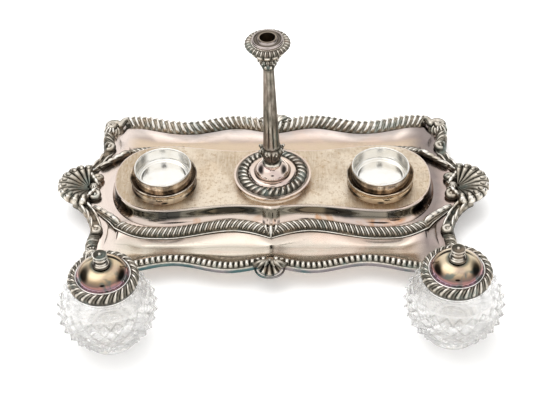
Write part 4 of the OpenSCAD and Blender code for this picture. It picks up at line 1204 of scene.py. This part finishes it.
def cove_tarnish_and_reflection(p, colour):
    """Tarnish and painted reflection on the cove: a dark green-grey band under the platform's edge, a painted
    dark reflection, over a clean pink foot that turns brown where it meets the deck.
    """
    rise = p.plus(p.height(), p.drift(0.0045, 0.030, 3, distort=0.4))
    # The band is a painted dark reflection.
    band = p.span(rise, 0.0196, 0.0224)
    edge = p.span(p.height(), 0.0266, 0.0276)
    patch = p.span(p.noise(0.030, 2, vector=p.stretch((1, 1, 0.05))), 0.46, 0.56)
    shade = p.mix(patch, (0.30, 0.31, 0.27), (0.075, 0.083, 0.080))
    foot = p.mix(p.span(p.noise(0.020, 3, distort=0.6), 0.48, 0.64), (1.0, 0.97, 0.95), (0.86, 0.60, 0.42))
    foot = p.mix(p.span(p.height(), 0.0172, 0.0184, 1.0, 0.0), foot, (0.30, 0.23, 0.18))
    side = p.mix(band, foot, shade)
    return p.mix(1.0, colour, p.mix(edge, side, (1.0, 1.0, 0.98)), "MULTIPLY")


def collar_tarnish_and_reflections(p, colour):
    """Bronze tarnish round a holder's collar with painted light in it: bright bands and a white lip as
    painted highlights, nearly black in the groove as painted shade, darker at its foot, and dark painted
    reflections in streaks down its side.
    """
    rise = p.plus(p.height(), p.drift(0.004, 0.010, 3))
    tarnish_and_light = p.ramp(p.span(rise, 0.0286, 0.0376), (0.0, (0.34, 0.25, 0.16)), (0.25, (0.80, 0.68, 0.52)),
                  (0.55, (0.95, 0.86, 0.72)), (0.80, (0.42, 0.32, 0.24)), (1.0, (1.0, 0.98, 0.94)))
    upright = p.stretch((1, 1, 0.15))
    # Dark upright streaks: painted reflections on the collar's round side.
    tarnish_and_light = p.blotch(tarnish_and_light, (0.10, 0.075, 0.06), 0.72, 0.46, 0.60, 0.014, 3, distort=0.4, vector=upright)
    return p.mix(0.95, colour, tarnish_and_light, "MULTIPLY")


def tray_tarnish_and_reflections(p, colour):
    """Painted reflections in long streaks that follow the troughs, with painted shadow lines and tarnish,
    different in front and behind; a painted violet shadow at the right end, pinker at the left end.
    """
    drift = p.drift(0.09, 0.024, 4, distort=0.6)
    ring = p.plus(p.wear(), drift)
    # Both ramps paint the reflections across the troughs, with thin painted shadow lines along the border and
    # the band.
    front = p.ramp(ring, (0.10, (0.34, 0.26, 0.19)), (0.15, (0.68, 0.56, 0.43)), (0.20, (0.92, 0.80, 0.66)),
                   (0.28, (0.84, 0.76, 0.64)), (0.34, (0.68, 0.62, 0.53)), (0.385, (0.67, 0.61, 0.52)),
                   (0.40, (0.50, 0.47, 0.40)), (0.415, (0.72, 0.66, 0.57)), (0.49, (0.70, 0.62, 0.54)),
                   (0.54, (0.60, 0.50, 0.43)), (0.57, (0.40, 0.31, 0.25)), (0.70, (0.55, 0.46, 0.41)),
                   (0.80, (0.72, 0.63, 0.58)))
    back = p.ramp(ring, (0.13, (0.10, 0.085, 0.07)), (0.152, (0.40, 0.36, 0.36)), (0.20, (0.66, 0.57, 0.53)),
                  (0.25, (0.46, 0.37, 0.33)), (0.29, (0.60, 0.46, 0.34)), (0.35, (0.67, 0.52, 0.37)),
                  (0.44, (0.66, 0.51, 0.36)), (0.52, (0.66, 0.52, 0.38)), (0.57, (0.40, 0.30, 0.22)),
                  (0.70, (0.55, 0.46, 0.38)), (0.80, (0.66, 0.56, 0.50)))
    behind = p.span(p.place_part("Y"), TRAY_Y * MM - 0.004, TRAY_Y * MM + 0.004)
    streaks = p.mix(behind, front, back)
    drawn, thin = p.stretch((0.6, 1.3, 1)), p.stretch((0.35, 1.6, 1))
    streaks = p.blotch(streaks, (0.70, 0.51, 0.42), 0.5, 0.50, 0.68, 0.024, distort=0.8, vector=drawn)
    streaks = p.blotch(streaks, (0.44, 0.34, 0.27), 0.40, 0.56, 0.70, 0.006, 5, 0.7, 0.6, thin)
    along = p.plus(p.place_part("X"), p.times(drift, 0.1))
    left = p.span(along, -0.116, -0.100, 1.0, 0.0)
    streaks = p.mix(p.times(left, 0.85), streaks, (0.88, 0.77, 0.72))
    # Painted violet shadow on the deck beside the platform's right end.
    right = p.span(along, 0.096, 0.112)
    violet_shadow = p.mix(p.span(along, 0.117, 0.128), (0.15, 0.12, 0.13), (0.50, 0.38, 0.36))
    streaks = p.mix(p.times(right, 0.9), streaks, violet_shadow)
    streaks = p.blotch(streaks, (0.34, 0.25, 0.19), 0.35, 0.58, 0.72, 0.0016, rough=0.75)
    return p.mix(0.2, streaks, colour)


def aged_casting(name, dark=1.0, shine=0.2, tint=(0.42, 0.33, 0.24), streak=1.0, mottle=0.45):
    """Cast silver plate: dark in the hollows with tarnish and painted shade, through warm grey, to bright
    crests that are rubbed and carry painted highlights, and teal on the plain apron along the front. dark
    shifts the whole ramp darker or lighter."""
    p = Paint(name, Metallic=1.0)
    long = p.stretch((1, 1, streak))
    stain = p.drift(mottle, 0.0028, detail=5, rough=0.65, vector=long)
    patch = p.drift(0.45, 0.014, detail=3, vector=long)
    worn = p.calc("SUBTRACT", p.plus(p.wear(), p.plus(stain, patch)), 0.07 * dark)
    # Ramp from tarnish and painted shade in the hollows to rubbed crests with a painted highlight.
    colour = p.ramp(worn, (0.08, TARNISH_AND_SHADE_BLACK), (0.26, (0.17, 0.155, 0.125)), (0.44, (0.38, 0.345, 0.29)),
                    (0.64, (0.72, 0.67, 0.59)), (0.90, (0.94, 0.91, 0.86)))
    colour = p.blotch(colour, (0.20, 0.26, 0.24), 0.50, 0.52, 0.68, 0.011, distort=0.5, vector=long)
    colour = p.blotch(colour, tint, 0.55, 0.50, 0.70, 0.017, 3, distort=0.8, vector=long)
    apron = p.times(p.span(p.height(), 0.0152, 0.0168, 0.7, 0.0),
                    p.span(p.place_part("Y"), -0.034, -0.030, 1.0, 0.0))
    skirt = p.mix(p.span(p.noise(0.030, 3), 0.44, 0.58), (0.07, 0.15, 0.16), (0.26, 0.23, 0.25))
    colour = p.mix(apron, colour, skirt)
    p.bump(p.noise(0.0010, detail=4, rough=0.6), 0.00010, 0.5)
    return p.set(Base_Color=colour, Roughness=p.span(worn, 0.05, 0.75, shine + 0.25, shine))


def satin_plate(name):
    """The platform's top: worn satin plate, brushed front to back, sandy, and browned in patches; its brush
    lines are painted lighter as sheen, and the sand as bright painted glints.
    """
    p = Paint(name, Metallic=1.0)
    brush = p.noise(0.0010, detail=5, rough=0.65, vector=p.stretch((1, 0.12, 1), (0, 0, 0.06)))
    cloud = p.span(p.noise(0.036, detail=4, distort=0.5), 0.34, 0.66)
    brown = p.span(p.noise(0.050, detail=4, distort=0.5, vector=p.stretch((1, 1.3, 1))), 0.44, 0.62)
    ends = p.calc("MAXIMUM", p.span(p.place_part("X"), -0.100, -0.060, 1.0, 0.0), p.times(brown, 0.8))
    colour = p.mix(cloud, (0.80, 0.70, 0.57), (0.72, 0.59, 0.44))
    colour = p.mix(p.times(ends, 0.75), colour, (0.43, 0.33, 0.225))
    # Brush lines painted lighter: painted sheen.
    colour = p.mix(p.span(brush, 0.42, 0.68, 0.0, 0.45), colour, (0.90, 0.82, 0.70))
    colour = p.blotch(colour, (0.44, 0.30, 0.17), 0.70, 0.50, 0.64, 0.0023, 5, rough=0.8)
    # Bright sandy specks: painted glints.
    colour = p.blotch(colour, (0.95, 0.88, 0.76), 0.5, 0.60, 0.70, 0.0015, 3, rough=0.8)
    p.bump(p.plus(brush, p.noise(0.0006, 3)), 0.00008, 0.8)
    return p.set(Base_Color=colour, Roughness=p.span(brush, 0.3, 0.7, 0.34, 0.48))


def bright_plate(name):
    """The cups' plate: a bright lining, nearly free of tarnish, and bronze tarnish on the outside with
    painted highlight streaks in it.
    """
    p = Paint(name, Metallic=1.0)
    lining = p.blotch((0.94, 0.93, 0.90), (0.76, 0.71, 0.62), 0.45, 0.40, 0.70, 0.016, distort=0.9)
    # The bright stops of the bronze make upright painted highlight streaks.
    bronze = p.ramp(p.noise(0.013, 3, distort=0.4, vector=p.stretch((1, 1, 0.15))),
                    (0.36, (0.16, 0.13, 0.10)), (0.46, (0.58, 0.47, 0.36)), (0.55, (1.0, 0.88, 0.75)),
                    (0.66, (0.70, 0.58, 0.45)))
    colour = p.mix(p.span(p.wear(), 0.15, 0.55), bronze, lining)
    p.bump(p.noise(0.005, detail=3), 0.0002, 0.25)
    return p.set(Base_Color=colour, Roughness=p.span(p.noise(0.020, 3), 0.3, 0.7, 0.16, 0.24))


def brass(name):
    """Dull brass of the hidden rod and nuts."""
    p = Paint(name, Metallic=1.0)
    colour = p.mix(p.span(p.noise(0.006, 4), 0.35, 0.7), (0.46, 0.38, 0.25), (0.22, 0.17, 0.10))
    p.bump(p.noise(0.0008, 3), 0.0001, 0.5)
    return p.set(Base_Color=colour, Roughness=p.span(p.noise(0.003, 3), 0.3, 0.7, 0.28, 0.5))


def cut_glass(name):
    """Clear lead glass, faintly rippled, with painted shading that greys it from point to point, grit and
    painted shade in the valleys between them, and a painted brown reflection low down."""
    p = Paint(name, IOR=1.52, Transmission_Weight=1.0, Alpha=0.62)
    p.bump(p.noise(0.006, detail=2), 0.0002, 0.12)
    haze = p.span(p.noise(0.010, 3), 0.4, 0.8, 0.0, 0.05)
    # Valleys: grit and painted shade.
    valley_grit_and_shade = p.span(p.wear(), 0.02, 0.26, 1.0, 0.0)
    grit = p.times(valley_grit_and_shade, p.span(p.noise(0.0045, 2), 0.44, 0.52))
    # Facets: painted shading.
    facet_shading = p.span(p.noise(0.0042, 1, distort=0.3), 0.46, 0.58)
    tint = p.mix(facet_shading, (0.99, 0.99, 0.99), (0.88, 0.88, 0.87))
    tint = p.mix(p.times(valley_grit_and_shade, 0.75), tint, (0.42, 0.41, 0.38))
    # Low down: a painted brown reflection.
    low = p.times(p.span(p.height(), 0.008, 0.020, 0.6, 0.0), p.span(p.noise(0.005, 2), 0.46, 0.56))
    tint = p.mix(low, tint, (0.60, 0.53, 0.42))
    return p.set(Base_Color=p.mix(p.times(grit, 0.9), tint, (0.16, 0.15, 0.13)), Roughness=haze)


# ---------------------------------------------------------------- light, floor and camera

CAMERA_AT = Vector((0.0411, -0.7490, 0.7319))
CAMERA_PITCH, CAMERA_YAW, CAMERA_ROLL = 42.8, -3.19, -2.36
CAMERA_LENS = 96.85

# Spots of the tent: azimuth and elevation, half width and height in degrees, and the softness of the edge.
DARK_SPOTS = [(2, 44, 9, 8, 0.6), (-108, 29, 30, 20, 0.8), (108, 29, 30, 20, 0.8), (180, 12, 30, 7, 0.6)]
BRIGHT_SPOT = (-114, 69, 24, 20, 0.8)
TENT_LEVEL, SPOT_DEPTH = 1.13, 1.08
LAMP_AT = Vector((-0.35, 0.55, 1.7))
LAMP_SIZE, LAMP_POWER = (2.4, 1.8), 20.0
FLOOR_HALF, FLOOR_DROP = 4.0, 0.0002


def camera_axes():
    pitch, yaw, roll = (math.radians(v) for v in (CAMERA_PITCH, CAMERA_YAW, CAMERA_ROLL))
    ahead = Vector((math.sin(yaw) * math.cos(pitch), math.cos(yaw) * math.cos(pitch), -math.sin(pitch)))
    level = Vector((math.cos(yaw), -math.sin(yaw), 0))
    high = level.cross(ahead)
    right = level * math.cos(roll) + high * math.sin(roll)
    up = -level * math.sin(roll) + high * math.cos(roll)
    return right, up, ahead


def make_camera():
    right, up, ahead = camera_axes()
    data = bpy.data.cameras.new("camera")
    data.lens = CAMERA_LENS
    data.sensor_width = 36
    data.clip_start = 0.05
    camera = add_object("camera", data)
    turn = Matrix((right, up, -ahead)).transposed().to_4x4()
    camera.matrix_world = Matrix.Translation(CAMERA_AT) @ turn
    bpy.context.scene.camera = camera


def make_floor():
    p = Paint("floor_paper")
    shade = p.mix(p.span(p.noise(0.05, 3), 0.3, 0.7), (0.93, 0.93, 0.93), (0.95, 0.95, 0.95))
    p.set(Base_Color=shade, Roughness=0.9, Specular_IOR_Level=0.1, Emission_Color=shade,
          Emission_Strength=0.24)
    grid = bmesh.new()
    bmesh.ops.create_grid(grid, x_segments=24, y_segments=24, size=FLOOR_HALF)
    mesh = bpy.data.meshes.new("floor")
    grid.to_mesh(mesh)
    grid.free()
    mesh.materials.append(p.material)
    floor = add_object("floor", mesh)
    floor.location.z = -FLOOR_DROP


def studio_light():
    """A white tent with dark oval spots that put dark bands on the metal, one bright spot and a dimmer
    horizon, and one soft lamp. The camera itself sees plain white."""
    world = bpy.data.worlds.new("tent")
    bpy.context.scene.world = world
    sky = Nodes(world)
    place = sky.node("ShaderNodeTexCoord").outputs["Generated"]

    def dot(direction):
        n = sky.node("ShaderNodeVectorMath", operation="DOT_PRODUCT")
        sky.feed(n.inputs[0], place)
        n.inputs[1].default_value = direction
        return n.outputs["Value"]

    def spot(azimuth, elevation, wide, tall, edge):
        """1 inside an oval patch of the sky and 0 outside it, all in degrees."""
        a, e = math.radians(azimuth), math.radians(elevation)
        middle = (math.sin(a) * math.cos(e), -math.cos(a) * math.cos(e), math.sin(e))
        across = (math.cos(a), math.sin(a), 0)
        above = (-math.sin(a) * math.sin(e), math.cos(a) * math.sin(e), math.cos(e))
        u = sky.calc("DIVIDE", dot(across), math.sin(math.radians(wide)))
        v = sky.calc("DIVIDE", dot(above), math.sin(math.radians(tall)))
        behind = sky.calc("LESS_THAN", dot(middle), 0.0)
        far = sky.plus(sky.plus(sky.times(u, u), sky.times(v, v)), sky.times(behind, 9.0))
        return sky.span(far, 1 - edge, 1 + edge, 1.0, 0.0)

    dark = spot(*DARK_SPOTS[0])
    for more in DARK_SPOTS[1:]:
        dark = sky.calc("MAXIMUM", dark, spot(*more))
    level = sky.calc("SUBTRACT", TENT_LEVEL, sky.times(dark, SPOT_DEPTH))
    level = sky.plus(level, sky.times(spot(*BRIGHT_SPOT), 0.7))
    horizon = sky.span(dot((0, 0, 1)), 0.0, 0.16, 0.55, 0.0, "LINEAR")
    level = sky.calc("MAXIMUM", sky.calc("SUBTRACT", level, horizon), 0.03)
    seen = sky.node("ShaderNodeLightPath").outputs["Is Camera Ray"]
    backdrop = sky.tree.nodes["Background"]
    sky.feed(backdrop.inputs["Strength"], sky.calc("MAXIMUM", level, sky.times(seen, 1.1)))
    backdrop.inputs["Color"].default_value = (1.0, 0.99, 0.975, 1)
    data = bpy.data.lights.new("softbox", "AREA")
    data.shape = "RECTANGLE"
    data.size, data.size_y = LAMP_SIZE
    data.energy = LAMP_POWER
    lamp = add_object("softbox", data)
    lamp.visible_glossy = False
    aim = (-LAMP_AT).to_track_quat("-Z", "Y").to_matrix().to_4x4()
    lamp.matrix_world = Matrix.Translation(LAMP_AT) @ aim


# ---------------------------------------------------------------- putting it together

make_camera()
make_floor()
studio_light()
bpy.context.scene.view_settings.view_transform = "Standard"

sheet_metal = polished_plate("tray_plate", rough=0.20, dirt_and_shade=0.0, tarnish_and_light=tray_tarnish_and_reflections,
                             tones=((0.72, 0.66, 0.58), (0.68, 0.58, 0.48), (0.60, 0.48, 0.44)))
cove_metal = polished_plate("cove_plate", rough=0.10, dirt_and_shade=0.4, tarnish_and_light=cove_tarnish_and_reflection,
                            tones=((0.72, 0.64, 0.57), (0.70, 0.58, 0.52), (0.60, 0.52, 0.49)))
collar_metal = polished_plate("collar_plate", rough=0.08, dirt_and_shade=0.5, tarnish_and_light=collar_tarnish_and_reflections)
seat_metal = polished_plate("seat_plate", rough=0.14, dirt_and_shade=0.6, tones=(CHAMPAGNE, (0.55, 0.42, 0.32), ROSE))
base_metal = polished_plate("stick_base_plate", rough=0.08, dirt_and_shade=0.85,
                            tones=((0.84, 0.72, 0.65), (0.74, 0.60, 0.50), (0.58, 0.46, 0.44)))
lid_metal = polished_plate("lid_plate", rough=0.05, dirt_and_shade=0.0, tarnish_and_light=lid_tarnish_and_reflections)
lip_metal = polished_plate("lip_plate", rough=0.16, dirt_and_shade=0.9,
                           tones=((0.46, 0.40, 0.38), (0.30, 0.26, 0.24), (0.62, 0.55, 0.52)))
cast_metal = aged_casting("tray_casting", dark=0.7)
# Copies set darker for the front castings and lighter for the back border: painted shade and painted light by
# which way they face.
shaded_boss_metal = aged_casting("boss_casting", dark=3.4)
shaded_front_metal = aged_casting("front_casting", dark=3.0, tint=(0.50, 0.41, 0.30), mottle=0.6)
lit_back_metal = aged_casting("back_casting", dark=-2.3, shine=0.16, tint=(0.52, 0.40, 0.28), mottle=0.6)
stick_metal = aged_casting("stick_casting", dark=1.5, tint=(0.30, 0.21, 0.17))
stem_metal = aged_casting("stem_casting", dark=3.1, shine=0.26, tint=(0.34, 0.24, 0.20), streak=0.25,
                          mottle=0.95)
lid_cast = aged_casting("lid_casting", dark=2.9, shine=0.14, tint=(0.36, 0.28, 0.21))
top_metal = satin_plate("platform_satin")
lining = bright_plate("cup_lining")
wire_metal = bright_plate("lid_wire_plate")
brass_metal = brass("old_brass")
glass = cut_glass("clear_cut_glass")

tray_pan(sheet_metal)
for end_name in ENDS:
    border(end_name, shaded_front_metal if end_name == "front" else lit_back_metal)
    deck_band(end_name, cast_metal)
    deck_leaf(end_name, cast_metal)
    centre_boss(end_name, shaded_boss_metal if end_name == "front" else cast_metal)
    for side_name in SIDES:
        corner = end_name + "_" + side_name
        signs = (SIDES[side_name], ENDS[end_name])
        side_scroll(corner, signs, cast_metal)
        corner_knob(corner, signs, cast_metal)
        tray_foot(corner, signs, cast_metal)
for side_name in SIDES:
    shell_handle(side_name, cast_metal)
    shell_volutes(side_name, cast_metal)
platform_cove(cove_metal)
platform_top(top_metal)
stick_seat(seat_metal)
stick_base(base_metal)
stick_base_ring(stick_metal)
leaf_cup(stick_metal)
stem(stem_metal)
capital(stick_metal)
nozzle_cup(stick_metal)
nozzle_pan(stick_metal)
nozzle_lip(lip_metal)
for side_name in SIDES:
    holder_collar(side_name, collar_metal)
    holder_cup(side_name, lining)
    bottle(side_name, glass)
    lid_rim(side_name, lid_cast)
    lid_wire(side_name, wire_metal)
    lid_dome(side_name, lid_metal)
    lid_finial(side_name, lid_cast)

for node, made in {"taper_tie_rod": brass_metal, "taper_nut": brass_metal, "candle_socket": seat_metal,
                   "finial_nut_left": brass_metal, "finial_nut_right": brass_metal,
                   "lid_sleeve_left": collar_metal, "lid_sleeve_right": collar_metal}.items():
    for material_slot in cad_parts[node].material_slots:
        material_slot.material = made
